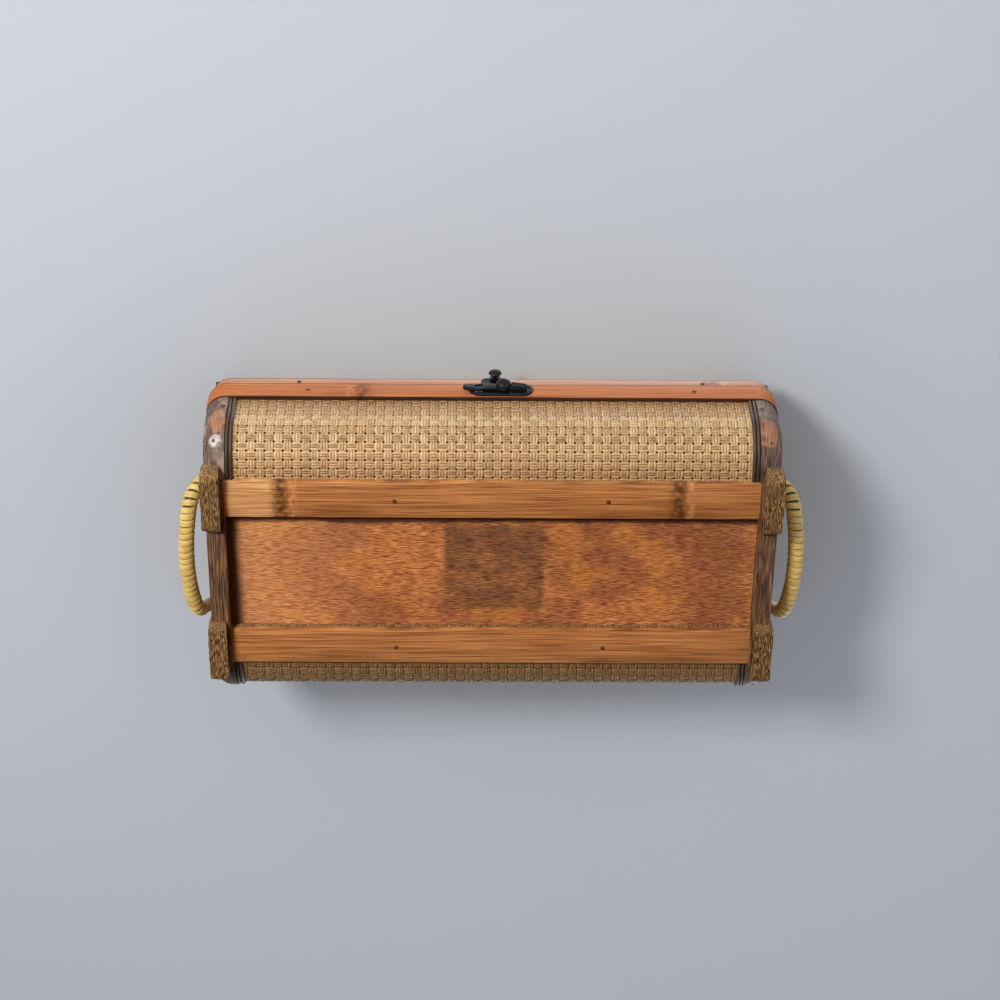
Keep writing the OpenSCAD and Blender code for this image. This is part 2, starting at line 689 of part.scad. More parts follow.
// Plate of a leaf from the axis outwards to reach, cut back beside the other leaf's knuckles
module leaf_plate(half, reach, cut_in) difference() {
    translate([-half, leaf_y, 0]) cube([2 * half, leaf_t, reach]);
    if (cut_in) translate([-lid_knuckle / 2 - knuckle_gap, leaf_y - past, -past])
        cube([lid_knuckle + 2 * knuckle_gap, leaf_t + 2 * past, leaf_clear + past]);
    else for (x = [0, 1]) mirror([x, 0, 0]) translate([lid_knuckle / 2, leaf_y - past, -past])
        cube([half, leaf_t + 2 * past, leaf_clear + past]);
}

leaf_nail_x = hinge_len / 2 - leaf_nail_in;
leaf_nail_len = leaf_t - fit;
module on_leaf(s, z) for (x = [-1, 1]) at_hinge(s)
    translate([x * leaf_nail_x, leaf_y + leaf_t, z]) rotate([-90, 0, 0]) children();

module hinge_leaf(s) color(IRON) difference() {
    at_hinge(s) difference() {
        union() {
            mirror([0, 0, 1]) leaf_plate(hinge_len / 2, leaf_h, true);
            knuckle(-hinge_len / 2, -lid_knuckle / 2 - knuckle_gap);
            knuckle(lid_knuckle / 2 + knuckle_gap, hinge_len / 2);
        }
        pin_bore();
    }
    on_leaf(s, leaf_nail_edge - leaf_h) nail_hole(leaf_nail_len);
}

module lid_leaf(s) color(IRON) difference() {
    at_hinge(s) difference() {
        union() {
            leaf_plate(hinge_len / 2, lid_leaf_h, false);
            knuckle(-lid_knuckle / 2, lid_knuckle / 2);
        }
        pin_bore();
    }
    on_leaf(s, lid_leaf_h - leaf_nail_edge) nail_hole(leaf_nail_len);
}

module hinge_pin(s) color(IRON) at_hinge(s) along_x(-hinge_len / 2, hinge_len / 2) circle(d = pin_d);
module hinge_nails() color(IRON) for (s = SIDES) on_leaf(s, leaf_nail_edge - leaf_h) nail(leaf_nail_len);
module lid_hinge_nails() color(IRON) for (s = SIDES)
    on_leaf(s, lid_leaf_h - leaf_nail_edge) nail(leaf_nail_len);

module show(name) children();

bottom_panel();
rim_hoop();
rim_nails();
band_nails();
runner_nails();
for (w = WALLS) {
    show(str(w, "_runner")) runner(w);
    show(str(w, "_woven_panel")) woven_panel(w);
    show(str(w, "_rail")) rail(w);
    show(str("lid_", w, "_rail")) lid_rail(w);
}
for (s = SIDES) {
    show(str(s, "_end_board")) end_board(s);
    show(str(s, "_handle_core")) handle_core(s);
    show(str(s, "_handle_wrap")) handle_wrap(s);
    show(str(s, "_lid_end")) lid_end(s);
    show(str(s, "_lid_band")) lid_band(s);
    show(str(s, "_lid_bead")) lid_bead(s);
    show(str(s, "_hinge_leaf")) hinge_leaf(s);
    show(str(s, "_lid_leaf")) lid_leaf(s);
    show(str(s, "_hinge_pin")) hinge_pin(s);
    for (w = WALLS) {
        show(str(s, "_", w, "_band")) band(s, w);
        show(str(s, "_", w, "_bead")) bead(s, w);
        show(str(s, "_", w, "_foot")) foot(s, w);
    }
}
latch_plate();
latch_pins();
latch_pivot();
latch_lever();
keeper_plate();
keeper_stud();
lid_hoop();
lid_woven_panel();
lid_nails();
hinge_nails();
lid_hinge_nails();
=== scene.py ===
# Wicker chest: woven cane, split bamboo trim, wrapped handles and a black latch, dressed over its frame.
# Lengths are metres in the frame of the chest: the front faces -Y and the feet stand on z = 0.
import math

import bmesh
import bpy
from mathutils import Matrix, Vector, noise


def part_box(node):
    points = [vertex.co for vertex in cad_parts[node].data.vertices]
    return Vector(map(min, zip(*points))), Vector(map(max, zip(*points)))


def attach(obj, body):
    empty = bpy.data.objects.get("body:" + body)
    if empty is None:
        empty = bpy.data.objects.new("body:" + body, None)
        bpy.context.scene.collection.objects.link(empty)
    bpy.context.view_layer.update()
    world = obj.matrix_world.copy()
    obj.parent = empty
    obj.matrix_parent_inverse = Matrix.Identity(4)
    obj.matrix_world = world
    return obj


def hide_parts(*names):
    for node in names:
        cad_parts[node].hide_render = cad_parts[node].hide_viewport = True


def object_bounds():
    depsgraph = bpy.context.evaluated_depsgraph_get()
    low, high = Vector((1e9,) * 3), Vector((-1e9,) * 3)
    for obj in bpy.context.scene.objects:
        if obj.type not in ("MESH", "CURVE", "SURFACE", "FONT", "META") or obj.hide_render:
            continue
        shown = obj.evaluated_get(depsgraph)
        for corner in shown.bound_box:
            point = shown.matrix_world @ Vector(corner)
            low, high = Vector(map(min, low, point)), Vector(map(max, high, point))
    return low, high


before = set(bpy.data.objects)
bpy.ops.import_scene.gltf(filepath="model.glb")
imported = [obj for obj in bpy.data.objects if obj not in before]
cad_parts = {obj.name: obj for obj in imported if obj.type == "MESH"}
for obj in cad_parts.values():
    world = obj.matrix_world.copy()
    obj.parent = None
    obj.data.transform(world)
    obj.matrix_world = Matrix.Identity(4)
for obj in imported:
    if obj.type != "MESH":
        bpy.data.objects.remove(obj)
cad_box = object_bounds()
# Without a seed noise_vector takes its offsets from the clock, and each run would differ
NOISE_SEED = 1
noise.seed_set(NOISE_SEED)
MM = 0.001
X_AXIS = Vector((1, 0, 0))
Y_AXIS = Vector((0, 1, 0))
Z_AXIS = Vector((0, 0, 1))
SIDES = (("left", -1), ("right", 1))

# Sizes taken from the frame
WALL_LO, WALL_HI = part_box("front_woven_panel")
RIM_LO, RIM_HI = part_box("rim_hoop")
LID_LO, LID_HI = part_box("lid_hoop")
DOME_LO, DOME_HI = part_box("lid_woven_panel")
HALF_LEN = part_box("right_end_board")[1].x
HALF_DEPTH = -WALL_LO.y
BOTTOM_Z = WALL_LO.z
LID_Y = (LID_LO.y + LID_HI.y) / 2

# Sizes that the frame's boxes don't give
CORNER_R = 22 * MM
EDGE_R = 10 * MM
WEAVE_T = 2 * MM
HOOP_T = 2.2 * MM
BAND_W = 11.5 * MM
BAND_T = 1.6 * MM
BEAD_W = 4.4 * MM
FIT = 0.1 * MM
DOME_TUCK = 1 * MM


# Node trees

class Nodes:
    """A node tree with short ways to add to it; an input is a value or another node's output."""

    def __init__(self, tree):
        self.tree = tree

    def feed(self, socket, value):
        if isinstance(value, bpy.types.NodeSocket):
            self.tree.links.new(value, socket)
        elif socket.type == "RGBA":
            socket.default_value = (*value, 1)
        else:
            socket.default_value = value

    def add(self, kind, settings=None, **inputs):
        """A node with its settings and inputs; i and a number names an input by its number."""
        node = self.tree.nodes.new(kind)
        for name, value in (settings or {}).items():
            setattr(node, name, value)
        for name, value in inputs.items():
            key = int(name[1:]) if name[1:].isdigit() else name.replace("_", " ")
            self.feed(node.inputs[key], value)
        return node

    def math(self, operation, a, b=0.0):
        return self.add("ShaderNodeMath", {"operation": operation}, i0=a, i1=b).outputs[0]

    def plus(self, a, b):
        return self.math("ADD", a, b)

    def minus(self, a, b):
        return self.math("SUBTRACT", a, b)

    def times(self, a, b):
        return self.math("MULTIPLY", a, b)

    def over(self, a, b):
        return self.math("DIVIDE", a, b)

    def size(self, a):
        return self.math("ABSOLUTE", a)

    def vector(self, operation, a, b=(0, 0, 0), output="Vector"):
        return self.add("ShaderNodeVectorMath", {"operation": operation}, i0=a, i1=b).outputs[output]

    def parts(self, vector):
        return self.add("ShaderNodeSeparateXYZ", Vector=vector).outputs

    def join(self, **parts):
        return self.add("ShaderNodeCombineXYZ", **parts).outputs[0]

    def slope(self, value, start, end, low=0.0, high=1.0):
        """Low at the start, high at the end and straight between them."""
        return self.add("ShaderNodeMapRange", Value=value, From_Min=start, From_Max=end, To_Min=low,
                        To_Max=high).outputs[0]

    def fade(self, value, start, end):
        """0 at the start, 1 at the end and smooth between them."""
        return self.add("ShaderNodeMapRange", {"interpolation_type": "SMOOTHSTEP"}, Value=value,
                        From_Min=start, From_Max=end).outputs[0]

    def mix(self, factor, a, b, blend="MIX"):
        settings = {"data_type": "RGBA", "blend_type": blend}
        return self.add("ShaderNodeMix", settings, i0=factor, i6=a, i7=b).outputs[2]


def new_group(name, kind, inputs, output):
    """An empty node group with named inputs and one output: its nodes, its inputs and its output socket."""
    tree = bpy.data.node_groups.new(name, kind)
    for label, socket_type, value in inputs:
        socket = tree.interface.new_socket(label, in_out="INPUT", socket_type="NodeSocket" + socket_type)
        if value is not None:
            socket.default_value = value
    tree.interface.new_socket(output, in_out="OUTPUT", socket_type="NodeSocket" + output)
    given, result = tree.nodes.new("NodeGroupInput"), tree.nodes.new("NodeGroupOutput")
    return Nodes(tree), given.outputs, result.inputs[0]


# Shared surface effects

def effect_group(name, **values):
    """An empty group that makes a value from a place and some settings."""
    inputs = [("Vector", "Vector", None)]
    inputs += [(label.replace("_", " "), "Float", value) for label, value in values.items()]
    return new_group(name, "ShaderNodeTree", inputs, "Float")


def fibres_group():
    """Fine streaks that run along the first coordinate."""
    n, given, result = effect_group("Fibres", Streak_length=30 * MM, Streak_width=0.6 * MM)
    along = n.over(1.0, given["Streak length"])
    across = n.over(1.0, given["Streak width"])
    place = n.vector("MULTIPLY", given["Vector"], n.join(X=along, Y=across, Z=across))
    streaks = n.add("ShaderNodeTexNoise", Vector=place, Scale=1.0, Detail=3.0, Roughness=0.6)
    n.feed(result, streaks.outputs[0])
    return n.tree


def blotches_group():
    """Soft patches: 0 below the low limit and 1 above the high one."""
    n, given, result = effect_group("Blotches", Patch_size=30 * MM, Low=0.45, High=0.6)
    scale = n.over(1.0, given["Patch size"])
    patches = n.add("ShaderNodeTexNoise", Vector=given["Vector"], Scale=scale, Detail=5.0)
    n.feed(result, n.fade(patches.outputs[0], given["Low"], given["High"]))
    return n.tree


def stripe_group():
    """A soft band across the first coordinate, such as a bamboo joint: 1 at its middle."""
    n, given, result = effect_group("Stripe", Middle=0.0, Half_width=6 * MM)
    apart = n.size(n.minus(n.parts(given["Vector"])[0], given["Middle"]))
    n.feed(result, n.fade(apart, given["Half width"], 0.0))
    return n.tree


FIBRES = fibres_group()
BLOTCHES = blotches_group()
STRIPE = stripe_group()


class Finish(Nodes):
    """A material with its shader, the colour laid on so far and the shared effects at hand."""

    def __init__(self, name):
        self.material = bpy.data.materials.new(name)
        self.material.use_nodes = True
        super().__init__(self.material.node_tree)
        self.shader = self.tree.nodes["Principled BSDF"]
        coordinates = self.tree.nodes.new("ShaderNodeTexCoord")
        self.place = coordinates.outputs["Object"]
        self.strip = coordinates.outputs["UV"]
        self.colour = None

    def group(self, tree, vector, **inputs):
        return self.add("ShaderNodeGroup", {"node_tree": tree}, Vector=vector, **inputs).outputs[0]

    def fibres(self, vector, length, width):
        return self.group(FIBRES, vector, Streak_length=length, Streak_width=width)

    def blotches(self, size, low, high):
        return self.group(BLOTCHES, self.place, Patch_size=size, Low=low, High=high)

    def stripe(self, middle, half):
        return self.group(STRIPE, self.place, Middle=middle, Half_width=half)

    def ramp(self, value, *stops):
        """Colours at places along a value."""
        node = self.add("ShaderNodeValToRGB", Fac=value)
        elements = node.color_ramp.elements
        while len(elements) < len(stops):
            elements.new(0.5)
        for element, (place, colour) in zip(elements, stops):
            element.position = place
            element.color = (*colour, 1)
        return node.outputs[0]

    def cover(self, mask, colour, share=None, blend="MIX"):
        """Lays a colour on where the mask is, by its share if one is given."""
        factor = mask if share is None else self.times(mask, share)
        self.colour = self.mix(factor, self.colour, colour, blend)

    def spread(self, value, low, high):
        """A value from 0 to 1 spread between two limits."""
        return self.slope(value, 0.0, 1.0, low, high)

    def done(self, roughness, height, depth, strength, **sockets):
        """Joins the colour, the roughness, a bump and what else is given to the shader."""
        bump = self.add("ShaderNodeBump", Height=height, Distance=depth, Strength=strength)
        given = {"Base_Color": self.colour, "Roughness": roughness, "Normal": bump.outputs[0], **sockets}
        for name, value in given.items():
            self.feed(self.shader.inputs[name.replace("_", " ")], value)
        return self.material


# Finishes

BLEACHED = (0.95, 0.6, 0.28)
# Colour of the painted shade along the edges of the bamboo hoops
EDGE_SHADE_DARK = (0.016, 0.006, 0.003)


def bamboo_finish(name, tones, joints=(), gloss=0.5, edge_shade=None, bleached=None, shine=0.35):
    """Split bamboo of a dark, a middle and a light tone: fibres, soft patches, joints and edges darkened by
    painted shade.

    A joint is its x and the way, -1 or 1, on which its pale flecks lie. Left of bleached the strip is paler.
    Edge shade is the strip's half width and how far the painted shade reaches in from each edge.
    """
    f = Finish(name)
    dark, middle, light = tones
    fine = f.fibres(f.strip, 40 * MM, 0.45 * MM)
    broad = f.fibres(f.strip, 100 * MM, 2.5 * MM)
    f.colour = f.mix(0.35, f.ramp(fine, (0.4, dark), (0.48, middle), (0.6, light)),
                     f.ramp(broad, (0.4, dark), (0.5, middle), (0.6, light)))
    f.cover(f.blotches(40 * MM, 0.5, 0.7), middle, 0.4)
    if bleached is not None:
        pale = f.slope(f.parts(f.place)[0], bleached, bleached - 4 * MM)
        f.cover(pale, f.ramp(fine, (0.4, middle), (0.58, BLEACHED)), 0.7)
    for x, way in joints:
        smudge = f.times(f.stripe(x, 7.8 * MM), f.blotches(3.5 * MM, 0.25, 0.6))
        f.cover(smudge, tuple(0.42 * c for c in dark), 0.85)
        flecks = f.times(f.stripe(x + way * 6.8 * MM, 4 * MM), f.blotches(3 * MM, 0.4, 0.6))
        f.cover(flecks, light, 0.8)
    if edge_shade is not None:
        half, reach = edge_shade
        # Painted shade: a dark line along each edge of the strip, for the seam between rim and lid and the
        # shadow under the rim
        near = f.minus(half, f.size(f.parts(f.strip)[1]))
        f.cover(f.fade(near, reach, reach / 2), EDGE_SHADE_DARK, 0.95)
    roughness = f.spread(broad, gloss - 0.08, gloss + 0.15)
    return f.done(roughness, fine, 0.15 * MM, 0.5, Specular_IOR_Level=shine)


def weave_finish(name, painted_back_shade=False, painted_rim_shade=False):
    """Cane strands of differing tones, darkened and browned all over by painted shade for the back wall, and
    darkened under the rim by painted shade for the front.
    """
    f = Finish(name)
    tone = f.add("ShaderNodeAttribute", {"attribute_name": "tone"}).outputs["Fac"]
    f.colour = f.ramp(tone, (0.0, (0.27, 0.145, 0.056)), (0.25, (0.41, 0.24, 0.1)),
                      (0.7, (0.53, 0.325, 0.145)), (1.0, (0.66, 0.45, 0.23)))
    f.cover(f.blotches(50 * MM, 0.45, 0.75), (0.42, 0.23, 0.09), 0.6)
    fine = f.blotches(2.2 * MM, 0.35, 0.7)
    f.cover(fine, (0.74, 0.55, 0.31), 0.35)
    f.cover(f.blotches(4 * MM, 0.66, 0.76), (0.14, 0.07, 0.028), 0.7)
    # Painted shade: the back wall's cane is darkened and browned all over
    if painted_back_shade:
        f.cover(1.0, (0.53, 0.44, 0.31), blend="MULTIPLY")
    # Painted shade under the rim: the cane darkens upwards from 34 mm to 52 mm
    if painted_rim_shade:
        f.cover(f.slope(f.parts(f.place)[2], 34 * MM, 52 * MM), (0.66, 0.54, 0.46), blend="MULTIPLY")
    return f.done(0.45, fine, 0.1 * MM, 0.3, Specular_IOR_Level=0.35 if painted_back_shade else 0.5)


BARE_AT = ((-154 * MM, -89 * MM, 29 * MM), (155 * MM, -87.5 * MM, 23 * MM))
CORRODED_AT = (-155 * MM, -83.4 * MM, 16.4 * MM)


def band_finish():
    """Dark band, worn pale in places by rubbing and paler to the left by painted sheen, bare brown in a patch
    at each end in front, with a corroded nail.
    """
    f = Finish("worn dark band")
    fine = f.fibres(f.strip, 8 * MM, 0.7 * MM)
    f.colour = f.ramp(fine, (0.38, (0.036, 0.016, 0.009)), (0.5, (0.1, 0.05, 0.032)),
                      (0.64, (0.21, 0.125, 0.085)))
    # Pale patches, far more on the left bands than the right: wear from rubbing, and painted sheen where the
    # left bands catch the light
    rubbed_and_sheen = f.slope(f.parts(f.place)[0], -100 * MM, 100 * MM, 0.85, 0.08)
    f.cover(f.blotches(12 * MM, 0.46, 0.64), (0.4, 0.28, 0.215), rubbed_and_sheen)
    patches = []
    for place in BARE_AT:
        apart = f.vector("MULTIPLY", f.vector("SUBTRACT", f.place, place), (1.0, 0.55, 0.55))
        patches.append(f.vector("LENGTH", apart, output="Value"))
    rough_edge = f.spread(f.blotches(6 * MM, 0.3, 0.7), -2 * MM, 2 * MM)
    bare = f.fade(f.plus(f.math("MINIMUM", *patches), rough_edge), 6.4 * MM, 4.2 * MM)
    f.cover(bare, f.ramp(fine, (0.3, (0.2, 0.07, 0.03)), (0.65, (0.47, 0.21, 0.1))), 0.9)
    ring = f.fade(f.vector("DISTANCE", f.place, CORRODED_AT, "Value"), 4.6 * MM, 2.6 * MM)
    f.cover(f.times(ring, f.blotches(2.2 * MM, 0.3, 0.55)), (0.62, 0.55, 0.5), 0.85)
    return f.done(f.spread(fine, 0.45, 0.7), fine, 0.2 * MM, 0.6)


STAIN_AT = (1.5 * MM, -2 * MM)
STAIN_EDGE = (30.5 * MM, 26.5 * MM)
# Colour of the painted shadow, with some dirt, beside the front runner and the left end board
SHADOW_AND_DIRT = (0.04, 0.015, 0.012)


def panel_finish():
    """Thin plywood with a blotchy stain; underneath, a square patch, and painted shadow with some dirt along
    the front runner and at the left end.
    """
    f = Finish("stained plywood")
    fine = f.fibres(f.place, 5.2 * MM, 0.38 * MM)

    def grain(dark, light):
        return f.ramp(fine, (0.4, dark), (0.6, light))

    f.colour = f.ramp(fine, (0.4, (0.27, 0.075, 0.023)), (0.5, (0.58, 0.215, 0.06)), (0.6, (0.9, 0.42, 0.15)))
    f.cover(f.blotches(40 * MM, 0.42, 0.6), grain((0.14, 0.042, 0.019), (0.52, 0.19, 0.078)), 0.75)
    f.cover(f.blotches(30 * MM, 0.54, 0.68), grain((0.42, 0.135, 0.024), (0.86, 0.38, 0.095)), 0.7)
    place = f.parts(f.place)
    f.cover(f.slope(place[0], -60 * MM, -150 * MM), grain((0.48, 0.18, 0.06), (0.98, 0.52, 0.22)), 0.8)
    lo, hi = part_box("bottom_panel")
    square = under = f.math("LESS_THAN", place[2], (lo.z + hi.z) / 2)
    for way, middle in zip(place, STAIN_AT):
        square = f.times(square, f.fade(f.size(f.minus(way, middle)), *STAIN_EDGE))
    blotchy = f.spread(f.blotches(12 * MM, 0.35, 0.65), 0.5, 0.9)
    f.cover(square, grain((0.075, 0.03, 0.016), (0.33, 0.15, 0.068)), blotchy)
    ragged = f.spread(f.blotches(25 * MM, 0.3, 0.7), -0.9 * MM, 0.9 * MM)
    # Painted shadow, with some dirt: dark ragged bands on the underside beside the front runner and the left
    # end board
    for way, clean, shadow_full in ((place[1], -30.5 * MM, -33.5 * MM), (place[0], -140 * MM, -147 * MM)):
        f.cover(f.times(f.fade(f.plus(way, ragged), clean, shadow_full), under), SHADOW_AND_DIRT, 0.88)
    return f.done(f.spread(fine, 0.55, 0.75), fine, 0.2 * MM, 0.6, Specular_IOR_Level=0.35)


def fibrous_finish(name, streak, tones, roughness, bump, patches=None, shine=0.5, crosswise=False):
    """Fibres along a strip, or crosswise to the chest, with soft patches.

    A streak is its length and width, and a bump its depth and strength.
    Patches are their size, limits, colour and share.
    """
    f = Finish(name)
    way = f.strip
    if crosswise:
        way = f.add("ShaderNodeMapping", Vector=f.place, Rotation=(0, 0, math.pi / 2)).outputs[0]
    fine = f.fibres(way, *streak)
    f.colour = f.ramp(fine, *tones)
    if patches:
        f.cover(f.blotches(*patches[:3]), *patches[3:])
    if isinstance(roughness, tuple):
        roughness = f.spread(fine, *roughness)
    return f.done(roughness, fine, *bump, Specular_IOR_Level=shine)


def core_finish(bare_from):
    """Rattan, painted near black as shade under the wrap and pale where it is bare, from this way along the
    stick.
    """
    f = Finish("bare rattan")
    fine = f.fibres(f.strip, 20 * MM, 0.6 * MM)
    f.colour = f.ramp(fine, (0.3, (0.34, 0.23, 0.1)), (0.7, (0.64, 0.5, 0.27)))
    # Painted shade: near black where the wrap covers the core, so the gaps between turns look dark
    f.cover(f.slope(f.parts(f.strip)[0], bare_from, bare_from - 1 * MM), (0.025, 0.014, 0.006), 0.95)
    return f.done(0.6, fine, 0.1 * MM, 0.5)


def metal_finish(name, patches, clean, worn, share, roughness, bump, **sockets):
    """Metal with worn or rusty patches of this size and these limits."""
    f = Finish(name)
    wear = f.blotches(*patches)
    f.colour = f.mix(f.times(wear, share), clean, worn)
    return f.done(f.spread(wear, *roughness), wear, *bump, **sockets)


RUNNER_TONES = ((0.13, 0.041, 0.011), (0.49, 0.188, 0.052), (0.74, 0.36, 0.125))
RIM_TONES = ((0.26, 0.066, 0.018), (0.45, 0.133, 0.038), (0.54, 0.19, 0.064))
LID_TONES = ((0.28, 0.095, 0.042), (0.47, 0.185, 0.088), (0.56, 0.265, 0.145))
RUNNER_JOINTS = ((-119 * MM, 1), (104.5 * MM, 1))
RIM_JOINTS = ((-74.2 * MM, -1),)
LID_JOINTS = ((126 * MM, 1),)
# Half width and reach of the painted shade along each hoop's edges
RIM_EDGE_SHADE = ((RIM_HI.z - RIM_LO.z) / 2, 1.3 * MM)
LID_EDGE_SHADE = ((LID_HI.z - LID_LO.z) / 2, 1.4 * MM)
runner_bamboo = bamboo_finish("runner bamboo", RUNNER_TONES, RUNNER_JOINTS, bleached=-120 * MM)
plain_bamboo = bamboo_finish("plain bamboo", RUNNER_TONES)
rim_bamboo = bamboo_finish("rim bamboo", RIM_TONES, RIM_JOINTS, 0.6, RIM_EDGE_SHADE, shine=0.12)
lid_bamboo = bamboo_finish("lid bamboo", LID_TONES, LID_JOINTS, 0.55, LID_EDGE_SHADE)
woven_cane = weave_finish("woven cane")
front_cane = weave_finish("woven cane under the rim", painted_rim_shade=True)
dim_cane = weave_finish("aged woven cane", painted_back_shade=True)
worn_band = band_finish()
dark_reed = fibrous_finish(
    "dark reed", (20 * MM, 0.4 * MM),
    ((0.3, (0.03, 0.017, 0.011)), (0.55, (0.075, 0.042, 0.026)), (0.8, (0.17, 0.11, 0.075))),
    0.45, (0.1 * MM, 0.4), shine=0.35)
fibrous_foot = fibrous_finish(
    "fibrous foot", (4 * MM, 0.6 * MM),
    ((0.4, (0.052, 0.024, 0.008)), (0.5, (0.235, 0.123, 0.044)), (0.62, (0.58, 0.36, 0.15))),
    0.8, (0.6 * MM, 0.8), (8 * MM, 0.4, 0.65, (0.19, 0.097, 0.041), 0.4), 0.3, crosswise=True)
stained_board = fibrous_finish(
    "stained board", (16 * MM, 0.8 * MM),
    ((0.38, (0.045, 0.019, 0.01)), (0.5, (0.16, 0.075, 0.033)), (0.63, (0.34, 0.185, 0.085))),
    (0.5, 0.75), (0.3 * MM, 0.5), (30 * MM, 0.45, 0.6, (0.12, 0.055, 0.027), 0.4), crosswise=True)
stained_plywood = panel_finish()
yellow_wrap = fibrous_finish(
    "yellow cane wrap", (20 * MM, 0.5 * MM),
    ((0.36, (0.5, 0.3, 0.065)), (0.5, (0.72, 0.48, 0.125)), (0.64, (0.85, 0.64, 0.24))),
    0.5, (0.06 * MM, 0.3), (7 * MM, 0.46, 0.7, (0.42, 0.24, 0.07), 0.5), 0.4)
black_metal = metal_finish(
    "black latch", (3 * MM, 0.55, 0.75), (0.004, 0.004, 0.005), (0.024, 0.023, 0.022), 0.5,
    (0.15, 0.35), (0.1 * MM, 0.3), Coat_Weight=0.15, Specular_IOR_Level=0.3)
rusted_iron = metal_finish(
    "rusted iron", (2 * MM, 0.42, 0.62), (0.035, 0.03, 0.027), (0.13, 0.06, 0.03), 1.0,
    (0.4, 0.8), (0.2 * MM, 0.5))


# Making pieces

def linked(name, data):
    """A new object in the scene."""
    thing = bpy.data.objects.new(name, data)
    bpy.context.scene.collection.objects.link(thing)
    return thing


def plain_mesh(name, points, faces):
    mesh = bpy.data.meshes.new(name)
    mesh.from_pydata(points, [], faces)
    return mesh


def finish_piece(piece, body, slot, *nodes):
    """Hangs a piece on its body and hides the frame's nodes that it stands for; slot, the name of its finish,
    is not used.
    """
    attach(piece, body)
    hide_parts(*nodes)


def show(mesh, material, body, slot, *nodes, sharp=40):
    """A piece for a mesh, smooth apart from edges sharper than this many degrees."""
    mesh.materials.append(material)
    mesh.shade_smooth()
    mesh.set_sharp_from_angle(angle=math.radians(sharp))
    finish_piece(linked(mesh.name, mesh), body, slot, *nodes)


def outward(mesh):
    """Turns every face of a closed mesh outwards."""
    work = bmesh.new()
    work.from_mesh(mesh)
    bmesh.ops.recalc_face_normals(work, faces=work.faces)
    work.to_mesh(mesh)
    work.free()


def sweep_mesh(name, stations, section, closed=False):
    """Carries a closed outline, or one for each station, along stations of (point, side, out).

    UV is the way along and across, in metres.
    """
    sections = section if isinstance(section[0], list) else [section] * len(stations)
    count, rings = len(sections[0]), len(stations)
    points = [at + side * a + out * b
              for (at, side, out), outline in zip(stations, sections) for a, b in outline]
    way = [0.0]
    for (a, _, _), (b, _, _) in zip(stations, stations[1:] + stations[:1]):
        way.append(way[-1] + (b - a).length)
    faces, uvs = [], []
    for i in range(rings if closed else rings - 1):
        j = (i + 1) % rings
        for k in range(count):
            m = (k + 1) % count
            faces.append((i * count + k, i * count + m, j * count + m, j * count + k))
            uvs += [(way[i], sections[i][k][0]), (way[i], sections[i][m][0]),
                    (way[i + 1], sections[j][m][0]), (way[i + 1], sections[j][k][0])]
    if not closed:
        for ring in (0, rings - 1):
            faces.append(tuple(ring * count + k for k in range(count)))
            uvs += [(way[ring] + b, a) for a, b in sections[ring]]
    mesh = plain_mesh(name, points, faces)
    layer = mesh.uv_layers.new(name="UVMap")
    for loop, uv in zip(layer.data, uvs):
        loop.uv = uv
    outward(mesh)
    return mesh


def roughen(mesh, amount, size, seed):
    """Moves a mesh's points a little, for worn and hand-cut edges."""
    shift = Vector((seed * 7.1, seed * 3.3, seed * 5.7))
    for vertex in mesh.vertices:
        vertex.co += noise.noise_vector(vertex.co / size + shift) * amount


def strip_section(width, thick, crown, edge, steps=8):
    """Outline of a flat strip, its crowned face outwards and its outer edges rounded."""
    half = width / 2
    inner = half - edge
    level = thick - crown - edge
    quarter = [(edge * math.sin(i * math.pi / 8), edge * math.cos(i * math.pi / 8)) for i in range(5)]
    outline = [(half, 0.0), (-half, 0.0)]
    outline += [(-inner - b, level + a) for a, b in quarter]
    for i in range(1, steps):
        a = -inner + 2 * inner * i / steps
        outline.append((a, thick - crown * (a / inner) ** 2))
    return outline + [(inner + a, level + b) for a, b in quarter]


# Lines along the case and the lid

LINE_STEP = 1.2 * MM
BEND_STEPS = 24


def resample(points):
    """Points at even steps along a line of points."""
    result = [points[0]]
    for a, b in zip(points, points[1:]):
        count = max(1, round((b - a).length / LINE_STEP))
        result += [a.lerp(b, (i + 1) / count) for i in range(count)]
    return result


def case_profile(off, low_y, top):
    """The front of the case's section, grown outwards by off: from under the case, round the bend and up."""
    depth = HALF_DEPTH + off
    radius = CORNER_R + off
    level = BOTTOM_Z - off
    bend = []
    first = math.asin(max(0.0, low_y - depth + radius) / radius)
    for i in range(BEND_STEPS + 1):
        angle = first + (math.pi / 2 - first) * i / BEND_STEPS
        y, z = -(depth - radius) - radius * math.sin(angle), level + radius * (1 - math.cos(angle))
        bend.append(Vector((0, y, z)))
    flat = [Vector((0, -low_y, level))] if first == 0 else []
    return resample(flat + bend + [Vector((0, -depth, top))])


def flipped(points):
    """A front profile turned to the back, in the order that keeps its outside outside."""
    return [Vector((p.x, -p.y, p.z)) for p in reversed(points)]


def dome_profile(off, low_z):
    """The lid's section from front to back, grown outwards by off."""
    half = (DOME_HI.y - DOME_LO.y) / 2
    rise = DOME_HI.z - (LID_HI.z - DOME_TUCK)
    radius = (half * half + rise * rise) / (2 * rise)
    middle_z = DOME_HI.z - radius
    reach = math.sqrt((radius + off) ** 2 - (low_z - middle_z) ** 2)
    angle = math.asin(min(reach, half + max(off, 0)) / (radius + off))
    count = round(2 * angle * radius / LINE_STEP)
    turns = [-angle + 2 * angle * i / count for i in range(count + 1)]
    return [Vector((0, LID_Y + (radius + off) * math.sin(a), middle_z + (radius + off) * math.cos(a)))
            for a in turns]


